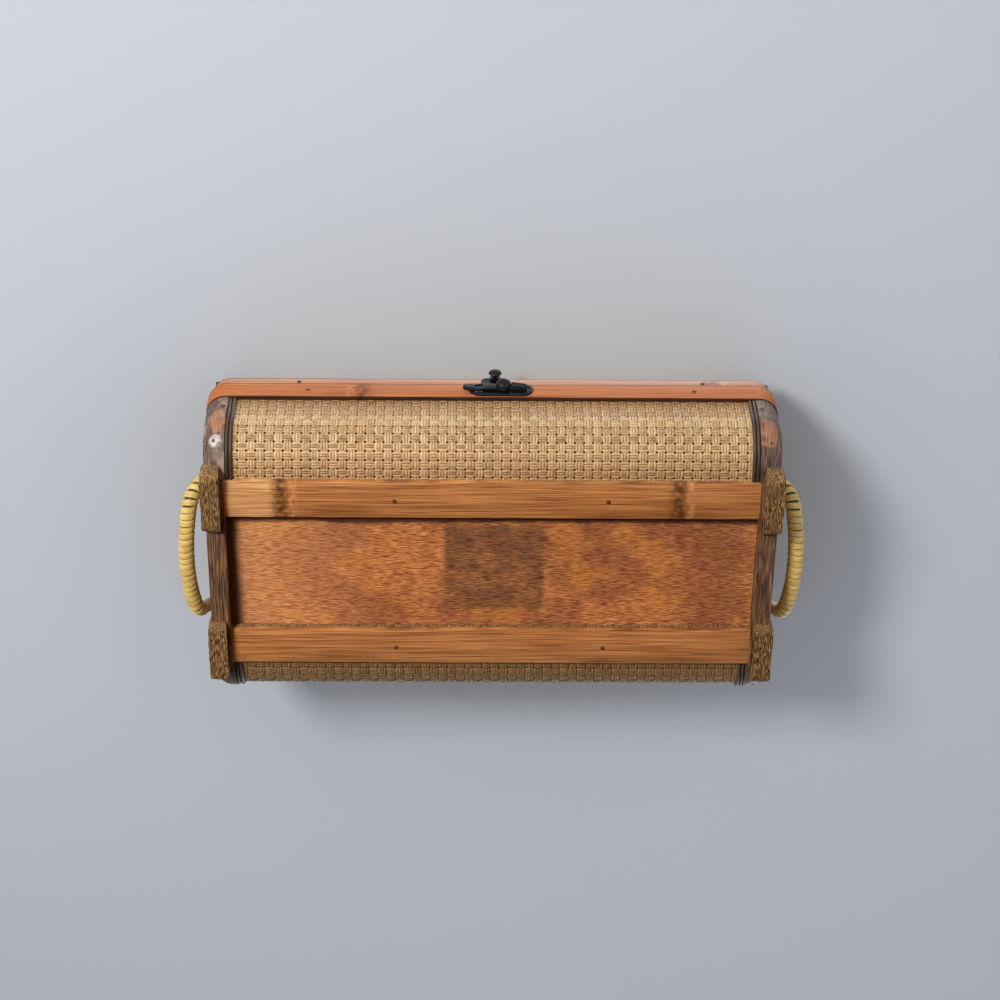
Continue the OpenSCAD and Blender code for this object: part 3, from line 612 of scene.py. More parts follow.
def stations_along(points, x):
    """Stations on a profile at one x, with the side along X and the out away from the case."""
    stations = []
    for i, point in enumerate(points):
        ahead = (points[min(i + 1, len(points) - 1)] - points[max(i - 1, 0)]).normalized()
        stations.append((point + X_AXIS * x, X_AXIS, X_AXIS.cross(ahead).normalized()))
    return stations


# Woven cane

ROW_STRANDS = 3
SEGMENTS = 3
STRAND_SIDES = 6
WEAVE_PITCH = 5.1 * MM
STRAND_W = 1.8 * MM
STRAND_T = 0.85 * MM
ROW_WAVE = 0.42 * MM
COLUMN_WAVE = 0.54 * MM
WAVE_STEEP = 1.4
GATHER = 0.22
COLUMN_SEED = 50
WEAVE_TUCK = 3 * MM


def smooth_end(n, geometry, material, result):
    """Ends a tree of shapes with smooth faces of one material."""
    smooth = n.add("GeometryNodeSetShadeSmooth", Geometry=geometry)
    coloured = n.add("GeometryNodeSetMaterial", Geometry=smooth.outputs[0], Material=material)
    n.feed(result, coloured.outputs[0])
    return n.tree


def weave_tree(name, rows):
    """Groups of strands, over and under the crossing groups, laid on a profile that comes in as a curve."""
    n, g, result = new_group(name, "GeometryNodeTree", [
        ("Profile", "Geometry", None), ("Blocks along", "Int", 60), ("Blocks across", "Int", 20),
        ("Pitch along", "Float", WEAVE_PITCH), ("Pitch across", "Float", WEAVE_PITCH),
        ("Strand width", "Float", STRAND_W), ("Strand thickness", "Float", STRAND_T),
        ("Wave", "Float", ROW_WAVE), ("Gather", "Float", GATHER), ("Seed", "Int", 1),
        ("Material", "Material", None)], "Geometry")
    own, other = ("along", "across") if rows else ("across", "along")
    run_blocks, run_pitch = g[f"Blocks {own}"], g[f"Pitch {own}"]
    step_blocks, step_pitch = g[f"Blocks {other}"], g[f"Pitch {other}"]
    run = n.times(run_blocks, run_pitch)

    # One straight strand with a flat section
    strand = n.add("GeometryNodeMeshCylinder", Vertices=STRAND_SIDES, Radius=0.5, Depth=run,
                   Side_Segments=n.times(run_blocks, SEGMENTS))
    flat = n.add("GeometryNodeTransform", Geometry=strand.outputs["Mesh"],
                 Scale=n.join(X=g["Strand thickness"], Y=g["Strand width"], Z=1.0))
    turn = (0 if rows else math.pi / 2, math.pi / 2, 0)
    laid = n.add("GeometryNodeTransform", Geometry=flat.outputs[0], Rotation=turn)

    # A line of strands, with a tone and a group for each
    spacing = n.over(step_pitch, ROW_STRANDS)
    first, half_run = n.times(spacing, 0.5), n.times(run, 0.5)
    start, offset = ((half_run, first), (0.0, spacing)) if rows else ((first, half_run), (spacing, 0.0))
    line = n.add("GeometryNodeMeshLine", Count=n.times(step_blocks, ROW_STRANDS),
                 Start_Location=n.join(X=start[0], Y=start[1]), Offset=n.join(X=offset[0], Y=offset[1]))
    index = n.add("GeometryNodeInputIndex").outputs[0]
    number = n.math("FLOOR", n.over(n.plus(index, 0.5), ROW_STRANDS))
    # Columns take lighter tones than rows: partly the cane's own tone, partly painted highlight for the
    # columns that bulge more
    darkest, lightest = (0.0, 0.8) if rows else (0.25, 1.0)
    tone = n.add("FunctionNodeRandomValue", {"data_type": "FLOAT"}, ID=index, Seed=g["Seed"], i2=darkest,
                 i3=lightest).outputs[1]
    marked = line.outputs[0]
    for label, value in (("group", number), ("tone", tone)):
        marked = n.add("GeometryNodeStoreNamedAttribute", {"data_type": "FLOAT", "domain": "POINT"},
                       Geometry=marked, Name=label, Value=value).outputs[0]
    spread = n.add("GeometryNodeInstanceOnPoints", Points=marked, Instance=laid.outputs[0])
    real = n.add("GeometryNodeRealizeInstances", Geometry=spread.outputs[0])

    # Over and under
    x, y, z = n.parts(n.add("GeometryNodeInputPosition").outputs[0])
    here, aside = (x, y) if rows else (y, x)
    swing = n.math("SINE", n.times(n.over(here, run_pitch), math.pi))
    wave = n.math("MAXIMUM", n.math("MINIMUM", n.times(swing, WAVE_STEEP), 1.0), -1.0)
    group = n.add("GeometryNodeInputNamedAttribute", {"data_type": "FLOAT"}, Name="group").outputs[0]
    sign = n.minus(1.0, n.times(n.math("MODULO", group, 2.0), 2.0))
    if not rows:
        sign = n.times(sign, -1.0)
    height = n.plus(z, n.times(n.times(wave, sign), g["Wave"]))

    # The strands of a group draw together where they dive
    middle = n.times(n.plus(group, 0.5), step_pitch)
    dive = n.minus(1.0, n.size(swing))
    squeeze = n.minus(1.0, n.times(dive, g["Gather"]))
    drawn = n.plus(middle, n.times(n.minus(aside, middle), squeeze))
    along, across = (here, drawn) if rows else (drawn, here)

    # Laid on the profile
    sample = n.add("GeometryNodeSampleCurve", {"mode": "LENGTH", "use_all_curves": True},
                   Curves=g["Profile"], Length=across).outputs
    out = n.vector("CROSS_PRODUCT", (1, 0, 0), sample["Tangent"])
    lift = n.add("ShaderNodeVectorMath", {"operation": "SCALE"}, i0=out, Scale=height).outputs[0]
    half_length = n.times(n.times(g["Blocks along"], g["Pitch along"]), 0.5)
    sideways = n.join(X=n.minus(along, half_length))
    place = n.vector("ADD", n.vector("ADD", sample["Position"], lift), sideways)
    moved = n.add("GeometryNodeSetPosition", Geometry=real.outputs[0], Position=place)
    return smooth_end(n, moved.outputs[0], g["Material"], result)


WEAVE_ROWS = weave_tree("Weave rows", True)
WEAVE_COLUMNS = weave_tree("Weave columns", False)


def grown(name, source, tree, values):
    """Runs a node tree on an object and keeps the result as a plain mesh on a new object."""
    modifier = source.modifiers.new("Nodes", "NODES")
    modifier.node_group = tree
    identifiers = {item.name: item.identifier for item in tree.interface.items_tree if item.in_out == "INPUT"}
    for label, value in values.items():
        modifier[identifiers[label]] = value
    shown = source.evaluated_get(bpy.context.evaluated_depsgraph_get())
    mesh = bpy.data.meshes.new_from_object(shown)
    source.modifiers.remove(modifier)
    mesh.name = name
    return linked(name, mesh)


def profile_curve(points):
    """A curve object along points, as a guide for a weave."""
    curve = bpy.data.curves.new("weave guide", "CURVE")
    curve.dimensions = "3D"
    spline = curve.splines.new("POLY")
    spline.points.add(len(points) - 1)
    for end, point in zip(spline.points, points):
        end.co = (*point, 1)
    return linked("weave guide", curve)


def woven_sheet(name, points, body, node, material, seed):
    """Rows and columns of cane on a profile."""
    guide = profile_curve(points)
    width = 2 * (HALF_LEN - BAND_W + WEAVE_TUCK)
    reach = sum((b - a).length for a, b in zip(points, points[1:]))
    along, across = round(width / WEAVE_PITCH), round(reach / WEAVE_PITCH)
    values = {"Blocks along": along, "Blocks across": across, "Pitch along": width / along,
              "Pitch across": reach / across, "Strand width": STRAND_W, "Strand thickness": STRAND_T,
              "Gather": GATHER, "Material": material}
    for suffix, tree, wave, shift in (("rows", WEAVE_ROWS, ROW_WAVE, 0),
                                      ("columns", WEAVE_COLUMNS, COLUMN_WAVE, COLUMN_SEED)):
        piece = grown(f"{name}_{suffix}", guide, tree, {**values, "Wave": wave, "Seed": seed + shift})
        finish_piece(piece, body, "woven_cane", node)
    bpy.data.objects.remove(guide)


front_sheet = case_profile(-WEAVE_T / 2, -WALL_HI.y, RIM_HI.z - 1 * MM)
lid_sheet = dome_profile(-WEAVE_T / 2, LID_LO.z)
woven_sheet("front_weave", front_sheet, "case", "front_woven_panel", front_cane, 3)
woven_sheet("back_weave", flipped(front_sheet), "case", "back_woven_panel", dim_cane, 7)
woven_sheet("lid_weave", lid_sheet, "lid", "lid_woven_panel", woven_cane, 11)


# Bamboo hoops

CORNER_STEPS = 12
HOOP_STEP = 4 * MM


def hoop_stations(half_x, half_y, middle_y, radius, z):
    """Stations round a rectangle with rounded corners, with the side upwards and the out outwards."""
    stations = []
    for right, back, start in ((1, -1, -90), (1, 1, 0), (-1, 1, 90), (-1, -1, 180)):
        centre = Vector((right * (half_x - radius), middle_y + back * (half_y - radius), z))
        for i in range(CORNER_STEPS + 1):
            angle = math.radians(start + 90 * i / CORNER_STEPS)
            out = Vector((math.cos(angle), math.sin(angle), 0))
            stations.append((centre + out * radius, Z_AXIS, out))
    result = []
    for here, there in zip(stations, stations[1:] + stations[:1]):
        result.append(here)
        gap = (there[0] - here[0]).length
        if gap > 2 * HOOP_STEP:
            count = round(gap / HOOP_STEP)
            result += [(here[0].lerp(there[0], i / count), here[1], here[2]) for i in range(1, count)]
    return result


def hoop(name, lo, hi, body, material, node):
    half_x, half_y = (hi.x - lo.x) / 2 - HOOP_T, (hi.y - lo.y) / 2 - HOOP_T
    stations = hoop_stations(half_x, half_y, (hi.y + lo.y) / 2, EDGE_R, (hi.z + lo.z) / 2)
    section = strip_section(hi.z - lo.z, HOOP_T, crown=0.35 * MM, edge=0.5 * MM)
    mesh = sweep_mesh(name, stations, section, closed=True)
    roughen(mesh, amount=0.12 * MM, size=18 * MM, seed=2)
    show(mesh, material, body, "red_bamboo", node)


hoop("rim_strip", RIM_LO, RIM_HI, "case", rim_bamboo, "rim_hoop")
hoop("lid_strip", LID_LO, LID_HI, "lid", lid_bamboo, "lid_hoop")


# Bamboo runners under the case

RUNNER_STEPS = 150
SWELL_HALF = 3 * MM
SWELL = 0.07


def runner(wall, material, joints):
    """A strip that swells a little at its joints."""
    lo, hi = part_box(f"{wall}_runner")
    section = strip_section(hi.y - lo.y, hi.z - lo.z, crown=0.9 * MM, edge=0.8 * MM, steps=12)
    stations = []
    for i in range(RUNNER_STEPS + 1):
        x = lo.x + (hi.x - lo.x) * i / RUNNER_STEPS
        swell = sum(math.exp(-((x - joint) / SWELL_HALF) ** 2) for joint, _ in joints)
        down = Vector((0, 0, -1 - SWELL * swell))
        stations.append((Vector((x, (lo.y + hi.y) / 2, hi.z)), Y_AXIS, down))
    mesh = sweep_mesh(f"{wall}_runner_strip", stations, section)
    roughen(mesh, amount=0.15 * MM, size=9 * MM, seed=5)
    show(mesh, material, "case", "bamboo", f"{wall}_runner")


runner("front", runner_bamboo, RUNNER_JOINTS)
runner("back", plain_bamboo, ())


# Edge bands and reeds

BAND_FLAT = BAND_W - EDGE_R
BAND_BEND = math.radians(74)
REED_R = BEAD_W / 4
REED_HIGH = 1.35
RUNNER_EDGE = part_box("back_runner")[1].y + FIT
TRIM_TOP = RIM_LO.z + 1 * MM
LID_END = LID_HI.x - HOOP_T - FIT


def band_point(share, rise, bent):
    """A point of a case band's section: its share of the bend, its height and how far the band is bent."""
    angle = BAND_BEND * share
    radius = EDGE_R + rise
    round_edge = Vector((BAND_FLAT + radius * math.sin(angle), radius * math.cos(angle) - EDGE_R))
    return Vector((BAND_FLAT + EDGE_R * share, rise)).lerp(round_edge, bent)


def band_section(side, bent):
    """A strip that lies flat beside the reeds and bends round the upright edge of the case."""
    outline = []
    for rise, order in ((BAND_T, 1), (0.0, -1)):
        line = [(BAND_FLAT * i / 4, rise) for i in range(4)]
        line += [tuple(band_point(i / 12, rise, bent)) for i in range(13)]
        outline += line[::order]
    return [(side * a, b) for a, b in outline]


def reed_section():
    """Half-round outline of a thin reed."""
    turns = [math.pi * i / 8 for i in range(9)]
    return [(REED_R * math.cos(a), REED_R * REED_HIGH * math.sin(a)) for a in turns]


def edge_trim(label, points, side, body, seed):
    """The band at one end of a profile and the pair of reeds beside it."""
    band_in = (HALF_LEN if body == "case" else LID_END) - BAND_W
    if body == "case":
        stations = stations_along(points, side * band_in)
        sections = [band_section(side, abs(out.y)) for _, _, out in stations]
    else:
        stations = stations_along(points, side * (band_in + BAND_W / 2))
        sections = strip_section(BAND_W, BAND_T, crown=0.2 * MM, edge=0.4 * MM)
    mesh = sweep_mesh(f"{label}_band_strip", stations, sections)
    roughen(mesh, amount=0.25 * MM, size=7 * MM, seed=seed)
    show(mesh, worn_band, body, "dark_bamboo", f"{label}_band")
    for number in (0, 1):
        x = side * (band_in - FIT - REED_R - 2 * REED_R * number)
        mesh = sweep_mesh(f"{label}_reed_{number + 1}", stations_along(points, x), reed_section())
        roughen(mesh, amount=0.1 * MM, size=6 * MM, seed=seed + number)
        show(mesh, dark_reed, body, "dark_bamboo", f"{label}_bead", sharp=70)


case_line = case_profile(0, RUNNER_EDGE, TRIM_TOP)
lid_line = dome_profile(0, LID_HI.z)
for side_name, side in SIDES:
    for wall_name, line in (("front", case_line), ("back", flipped(case_line))):
        label = f"{side_name}_{wall_name}"
        edge_trim(label, line, side, "case", len(label))
    edge_trim(f"{side_name}_lid", lid_line, side, "lid", 4 + side)


# Feet

FOOT_STEPS = (10, 36, 12)
FOOT_R = 5 * MM
FOOT_PLAN_R = 4 * MM


def round_corner(a, b, corner_a, corner_b, radius):
    """Draws a point in to a corner's round, where a and b run up to the corner."""
    a, b = a - corner_a + radius, b - corner_b + radius
    if min(a, b) > 0:
        pull = max(a, b) / math.hypot(a, b)
        a, b = a * pull, b * pull
    return a + corner_a - radius, b + corner_b - radius


def foot(label, side):
    """A block that is rounded where it stands and at its outer corners, rough with bare fibres."""
    lo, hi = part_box(f"{label}_foot")
    middle, half = (lo + hi) / 2, (hi - lo) / 2
    work = bmesh.new()
    bmesh.ops.create_cube(work, size=2.0)
    for axis, steps in enumerate(FOOT_STEPS):
        edges = [e for e in work.edges if abs(e.verts[0].co[axis] - e.verts[1].co[axis]) > 1]
        bmesh.ops.subdivide_edges(work, edges=edges, cuts=steps - 1, use_grid_fill=True)
    for vertex in work.verts:
        out, along, down = vertex.co.x * side * half.x, abs(vertex.co.y) * half.y, -vertex.co.z * half.z
        out, along = round_corner(out, along, half.x, half.y, FOOT_PLAN_R)
        down, along = round_corner(down, along, half.z, half.y, FOOT_R)
        vertex.co = middle + Vector((side * out, math.copysign(along, vertex.co.y), -down))
    mesh = bpy.data.meshes.new(f"{label}_foot_block")
    work.to_mesh(mesh)
    work.free()
    roughen(mesh, amount=0.4 * MM, size=3.5 * MM, seed=len(label))
    for vertex in mesh.vertices:
        vertex.co.z = max(vertex.co.z, lo.z)
    outward(mesh)
    show(mesh, fibrous_foot, "case", "foot_bamboo", f"{label}_foot")


for side_name, side in SIDES:
    for wall_name in ("front", "back"):
        foot(f"{side_name}_{wall_name}", side)


# Handles

CORE_LO, CORE_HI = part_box("right_handle_core")
CORE_R = 3.6 * MM
CORE_SIDES = 16
CORE_STEPS = 160
HANDLE_Z = CORE_HI.z - CORE_R
HANDLE_TILT = math.radians(60)
HANDLE_OUT = 17.8 * MM
HANDLE_SPAN = CORE_HI.y - CORE_LO.y - 2 * CORE_R
PEG_DEPTH = HALF_LEN - CORE_LO.x
ROOT_R = 6 * MM
BEND_R = 13 * MM
BEND_STAND = 0.2 * MM
BEND_OUT = HANDLE_OUT - BEND_STAND
BEND_Y = HANDLE_SPAN / 2 - BEND_R
BOW_R = (BEND_OUT ** 2 + BEND_Y ** 2 - BEND_R ** 2) / (2 * (BEND_OUT - BEND_R))
BOW_A = math.asin(BEND_Y / (BOW_R - BEND_R))
BOW_HALF = BOW_R * BOW_A
PLANE_HALF = BOW_HALF + BEND_R * (math.pi / 2 - BOW_A) + BEND_STAND
ROOT_HALF = PLANE_HALF + ROOT_R * HANDLE_TILT
HANDLE_HALF = ROOT_HALF + BEND_STAND + PEG_DEPTH
WRAP_PITCH = 3.95 * MM
WRAP_W = 3.6 * MM
WRAP_T = 0.95 * MM
WRAP_R = CORE_R + 0.03 * MM
WRAP_RINGS = 28
WRAP_WOBBLE = 0.03
WRAP_FIRST = -ROOT_HALF + 0.5 * MM
WRAP_LAST = BOW_HALF + 10.5 * MM
bare_rattan = core_finish(HANDLE_HALF + WRAP_LAST)


def handle_frame(way, side):
    """Point of a handle at a way from its middle, with its outward, upper and forward directions."""
    sign = 1 if way >= 0 else -1
    rest = abs(way)
    tilt, angle, along = HANDLE_TILT, math.pi / 2, HANDLE_SPAN / 2
    if rest <= BOW_HALF:
        angle = rest / BOW_R
        out, along = HANDLE_OUT - BOW_R + BOW_R * math.cos(angle), BOW_R * math.sin(angle)
    elif rest <= PLANE_HALF - BEND_STAND:
        angle = BOW_A + (rest - BOW_HALF) / BEND_R
        out, along = BEND_STAND + BEND_R * math.cos(angle), BEND_Y + BEND_R * math.sin(angle)
    elif rest <= PLANE_HALF:
        out = PLANE_HALF - rest
    else:
        tilt = max(0.0, (ROOT_HALF - rest) / ROOT_R)
        out = min(0.0, ROOT_HALF - rest)
    down = Vector((math.cos(tilt), 0, -math.sin(tilt)))
    hung = Vector((BEND_STAND + ROOT_R * math.sin(tilt), 0, ROOT_R * (math.cos(tilt) - 1)))
    place = hung + down * out
    point = Vector((side * (HALF_LEN + place.x), sign * along, HANDLE_Z + place.z))
    down.x *= side
    away = down * math.cos(angle) + Y_AXIS * sign * math.sin(angle)
    forward = Y_AXIS * math.cos(angle) - down * sign * math.sin(angle)
    return point, away, Vector((side * math.sin(tilt), 0, math.cos(tilt))), forward


def handle_stick(side_name, side):
    stations = []
    for i in range(CORE_STEPS + 1):
        point, out, over, _ = handle_frame(HANDLE_HALF * (2 * i / CORE_STEPS - 1), side)
        stations.append((point, over, out))
    turns = [math.tau * k / CORE_SIDES for k in range(CORE_SIDES)]
    circle = [(CORE_R * math.cos(a), CORE_R * math.sin(a)) for a in turns]
    mesh = sweep_mesh(f"{side_name}_handle_stick", stations, circle)
    show(mesh, bare_rattan, "case", "handle_core", f"{side_name}_handle_core")


def handle_wrap(side_name, side):
    """Cane wound from the board in front to a bare end at the back, its turns crowded inside the bends."""
    turns = (WRAP_LAST - WRAP_FIRST) / WRAP_PITCH
    rings = round(turns * WRAP_RINGS)
    stations = []
    for i in range(rings + 1):
        turn = turns * i / rings
        way = WRAP_FIRST + WRAP_PITCH * turn
        point, out, over, forward = handle_frame(way, side)
        angle = math.tau * turn
        away = out * math.cos(angle) + over * math.sin(angle)
        wobble = 1 + WRAP_WOBBLE * noise.noise(Vector((turn * 3.1, side, 0)))
        crowded = 1.0
        if abs(way) > PLANE_HALF:
            crowded -= max(0.0, -math.sin(angle)) * (CORE_R + WRAP_T) / ROOT_R
        elif abs(way) > BOW_HALF:
            crowded -= max(0.0, -math.cos(angle)) * (CORE_R + WRAP_T) / BEND_R
        stations.append((point + away * WRAP_R * wobble, forward * crowded, away))
    section = strip_section(WRAP_W, WRAP_T, crown=0.16 * MM, edge=0.25 * MM, steps=4)
    mesh = sweep_mesh(f"{side_name}_cane_wrap", stations, section)
    show(mesh, yellow_wrap, "case", "cane_wrap", f"{side_name}_handle_wrap", sharp=60)


for side_name, side in SIDES:
    handle_stick(side_name, side)
    handle_wrap(side_name, side)


# Nail heads

NAIL_R = 1.35 * MM
NAIL_RISE = 0.62 * MM
RIM_NAIL_X = 110 * MM
LID_NAIL_X = 116 * MM
HOOP_NAIL_Y = 35 * MM
NAIL_SHIFT = 5 * MM
RUNNER_NAIL_X = 60 * MM
BAND_NAIL_IN = 2.5 * MM
BAND_NAIL_Z = RIM_LO.z - 10 * MM
BEND_NAIL_IN = 5.5 * MM
BEND_NAIL_TURN = math.radians(45)


def nails_tree():
    """A domed head on every point, turned to the way that the point faces."""
    n, g, result = new_group("Nail heads", "GeometryNodeTree", [
        ("Points", "Geometry", None), ("Head radius", "Float", NAIL_R), ("Head height", "Float", NAIL_RISE),
        ("Material", "Material", None)], "Geometry")
    ball = n.add("GeometryNodeMeshUVSphere", Segments=12, Rings=8, Radius=1.0)
    head = n.add("GeometryNodeTransform", Geometry=ball.outputs["Mesh"],
                 Scale=n.join(X=g["Head radius"], Y=g["Head radius"], Z=g["Head height"]))
    facing = n.add("GeometryNodeInputNamedAttribute", {"data_type": "FLOAT_VECTOR"}, Name="facing").outputs[0]
    turn = n.add("FunctionNodeAlignRotationToVector", {"axis": "Z"}, Vector=facing)
    heads = n.add("GeometryNodeInstanceOnPoints", Points=g["Points"], Instance=head.outputs[0],
                  Rotation=turn.outputs[0])
    real = n.add("GeometryNodeRealizeInstances", Geometry=heads.outputs[0])
    return smooth_end(n, real.outputs[0], g["Material"], result)


NAILS = nails_tree()


def nail_heads(name, places, body, *nodes):
    """Heads at places of (point, facing)."""
    mesh = plain_mesh(f"{name} places", [point for point, _ in places], [])
    facing = mesh.attributes.new("facing", "FLOAT_VECTOR", "POINT")
    for item, (_, way) in zip(facing.data, places):
        item.vector = way
    holder = linked(mesh.name, mesh)
    values = {"Head radius": NAIL_R, "Head height": NAIL_RISE, "Material": rusted_iron}
    finish_piece(grown(name, holder, NAILS, values), body, "iron", *nodes)
    bpy.data.objects.remove(holder)


def hoop_nails(lo, hi, nail_x):
    """Two nails in each long side of a hoop and two in each end."""
    places = []
    z = (lo.z + hi.z) / 2
    for x in (-nail_x, nail_x):
        places += [((x + NAIL_SHIFT, lo.y, z), (0, -1, 0)), ((x, hi.y, z), (0, 1, 0))]
    for y in (-HOOP_NAIL_Y, HOOP_NAIL_Y):
        places += [((lo.x, y, z), (-1, 0, 0)), ((hi.x, y, z), (1, 0, 0))]
    return places


def bend_nail(side, wall):
    """The nail in a band's bend, on the face of the band."""
    share = (BEND_NAIL_IN - BAND_FLAT) / EDGE_R
    rise = band_point(share, BAND_T, math.cos(BEND_NAIL_TURN)).y
    facing = Vector((0, wall * math.cos(BEND_NAIL_TURN), -math.sin(BEND_NAIL_TURN)))
    x = side * (HALF_LEN - BAND_W + BEND_NAIL_IN)
    centre = Vector((x, wall * (HALF_DEPTH - CORNER_R), BOTTOM_Z + CORNER_R))
    return centre + facing * (CORNER_R + rise), facing


case_nails = hoop_nails(RIM_LO, RIM_HI, RIM_NAIL_X)
for wall_name, wall in (("front", -1), ("back", 1)):
    runner_lo, runner_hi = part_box(f"{wall_name}_runner")
    for _, side in SIDES:
        band_x = side * (HALF_LEN - BAND_W + BAND_NAIL_IN)
        runner_x = side * RUNNER_NAIL_X + NAIL_SHIFT
        case_nails.append(((band_x, wall * (HALF_DEPTH + BAND_T), BAND_NAIL_Z), (0, wall, 0)))
        case_nails.append(bend_nail(side, wall))
        case_nails.append(((runner_x, (runner_lo.y + runner_hi.y) / 2, runner_lo.z), (0, 0, -1)))
nail_heads("case_nail_heads", case_nails, "case", "rim_nails", "band_nails", "runner_nails")
nail_heads("lid_nail_heads", hoop_nails(LID_LO, LID_HI, LID_NAIL_X), "lid", "lid_nails")


# Latch

PLATE_LO, PLATE_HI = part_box("latch_plate")
LEVER_LO, LEVER_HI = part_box("latch_lever")
STUD_LO, STUD_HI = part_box("keeper_stud")
PLATE_RIM = (1.5 * MM, 0.45 * MM)
BOSS_R = 4.4 * MM
BOSS_RISE = 3.7 * MM
BOSS_EDGE = 0.4 * MM
BOSS_GAP = 0.25 * MM
RIVET_R = 1.5 * MM
HOOK_HALF = 2.6 * MM
DISC_R = 4.0 * MM
NOTCH_R = 2.2 * MM
NOTCH_WALL = 1.6 * MM
TIP_TOP, TIP_LOW = 1.0 * MM, 1.7 * MM
TAIL_TOP, TAIL_LOW = 34, 324
BAR_START = 4.6 * MM
BAR_SHORT = 0.2 * MM
BAR_SINK = 0.1 * MM
BAR_STEPS = 48
BAR_TAPER = 0.35
BAR_GROOVES = 6
GROOVE_DEPTH = 0.1
BAR_HALF = 2.1 * MM
BAR_RISE = 2.6 * MM
NECK_R = 1.4 * MM
HEAD_H = 1.8 * MM
HEAD_EDGE = 0.3 * MM
HEAD_RISE = 1.9 * MM


def axis_of(node):
    """Middle of a turned node, in X and Z."""
    lo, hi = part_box(node)
    return Vector(((lo.x + hi.x) / 2, 0, (lo.z + hi.z) / 2))


PIVOT = axis_of("latch_pivot")
STUD = axis_of("keeper_stud")
STUD_REACH = (STUD - PIVOT).length


def show_metal(mesh, body, *nodes):
    show(mesh, black_metal, body, "black_metal", *nodes)


def arc(centre_x, centre_z, radius, start, end, steps):
    """Points on an arc from one angle to another, in degrees."""
    turns = [math.radians(start + (end - start) * i / steps) for i in range(steps + 1)]
    return [(centre_x + radius * math.cos(a), centre_z + radius * math.sin(a)) for a in turns]


def shrunk(outline, by):
    """An outline that runs anticlockwise in X and Z, drawn in by a distance."""
    result = []
    for i, here in enumerate(outline):
        before = (Vector(here) - Vector(outline[i - 1])).normalized()
        after = (Vector(outline[(i + 1) % len(outline)]) - Vector(here)).normalized()
        inward = Vector((-before.y - after.y, before.x + after.x)) / (1 + before.dot(after))
        result.append(tuple(Vector(here) + inward * by))
    return result


def slab(name, outline, back, front, bevel, inset=None):
    """A plate with this outline in X and Z, rounded in front and its face sunk inside a rim if asked."""
    layers = [(back, 0.0), (front + bevel, 0.0), (front + 0.3 * bevel, 0.3 * bevel), (front, bevel)]
    if inset is not None:
        rim, sunk = inset
        layers += [(front, rim), (front + sunk, rim)]
    work = bmesh.new()
    rings = [[work.verts.new((x, y, z)) for x, z in shrunk(outline, by)] for y, by in layers]
    for low, high in zip(rings, rings[1:]):
        for k in range(len(outline)):
            work.faces.new((low[k - 1], low[k], high[k], high[k - 1]))
    ends = [work.faces.new(rings[0]), work.faces.new(rings[-1])]
    bmesh.ops.triangulate(work, faces=ends, ngon_method="EAR_CLIP")
    bmesh.ops.recalc_face_normals(work, faces=work.faces)
    mesh = bpy.data.meshes.new(name)
    work.to_mesh(mesh)
    work.free()
    return mesh


def turned_mesh(name, centre, profile, steps=32):
    """A shape turned about an axis along Y, from a profile of (radius, y)."""
    points = []
    for i in range(steps):
        angle = math.tau * i / steps
        out = Vector((math.cos(angle), 0, math.sin(angle)))
        points += [centre + out * a + Y_AXIS * b for a, b in profile]
    count = len(profile)
    faces = []
    for i in range(steps):
        j = (i + 1) % steps
        for k in range(count - 1):
            faces.append((i * count + k, i * count + k + 1, j * count + k + 1, j * count + k))
    for k in (0, count - 1):
        faces.append(tuple(i * count + k for i in range(steps)))
    mesh = plain_mesh(name, points, faces)
    outward(mesh)
    return mesh


def dome_points(radius, base, rise, first, count):
    """Points of a dome's profile, from its edge to close by its top."""
    turns = [math.pi / 2 * i / count for i in range(first, count)]
    return [(radius * math.cos(a), base - rise * math.sin(a)) for a in turns]


def latch_base():
    """Oblong base with a raised rim."""
    half_h = (PLATE_HI.z - PLATE_LO.z) / 2
    outline = arc(PLATE_HI.x - half_h, PIVOT.z, half_h, -90, 90, 14)
    outline += arc(PLATE_LO.x + half_h, PIVOT.z, half_h, 90, 270, 14)
    mesh = slab("latch_base", outline, PLATE_HI.y, PLATE_LO.y, bevel=0.35 * MM, inset=PLATE_RIM)
    show_metal(mesh, "case", "latch_plate", "latch_pins")


def latch_dome():
    """Round boss over the rivet."""
    base = LEVER_LO.y - BOSS_GAP
    profile = [(RIVET_R, PLATE_HI.y), (RIVET_R, base), (BOSS_R * 0.97, base)]
    profile += dome_points(BOSS_R, base - BOSS_EDGE, BOSS_RISE, 0, 9)
    show_metal(turned_mesh("latch_dome", PIVOT, profile), "case", "latch_pivot")


def lever_outline():
    """Hook arm to the left with a notch for the knob, round middle, tapered arm to the right."""
    reach = LEVER_HI.x - PIVOT.x
    end = LEVER_LO.x - PIVOT.x + HOOK_HALF
    round_r = NOTCH_R + NOTCH_WALL
    lip = math.degrees(math.acos(NOTCH_R / round_r))
    meet = math.degrees(math.asin(HOOK_HALF / round_r))
    arm = math.degrees(math.asin(HOOK_HALF / DISC_R))
    points = [(reach, -TIP_LOW), (reach, TIP_TOP)]
    points += arc(0, 0, DISC_R, TAIL_TOP, 180 - arm, 12)
    points += arc(-STUD_REACH, 0, round_r, meet, lip, 3)
    points += [(NOTCH_R - STUD_REACH, -NOTCH_R), (-NOTCH_R - STUD_REACH, -NOTCH_R)]
    points += arc(-STUD_REACH, 0, round_r, 180 - lip, 180 - meet, 3)
    points += arc(end, 0, HOOK_HALF, 90, 270, 10)
    points += arc(-STUD_REACH, 0, round_r, 180 + meet, 360 - meet, 8)
    points += arc(0, 0, DISC_R, 180 + arm, TAIL_LOW, 12)
    return [(PIVOT.x + x, PIVOT.z + z) for x, z in points]


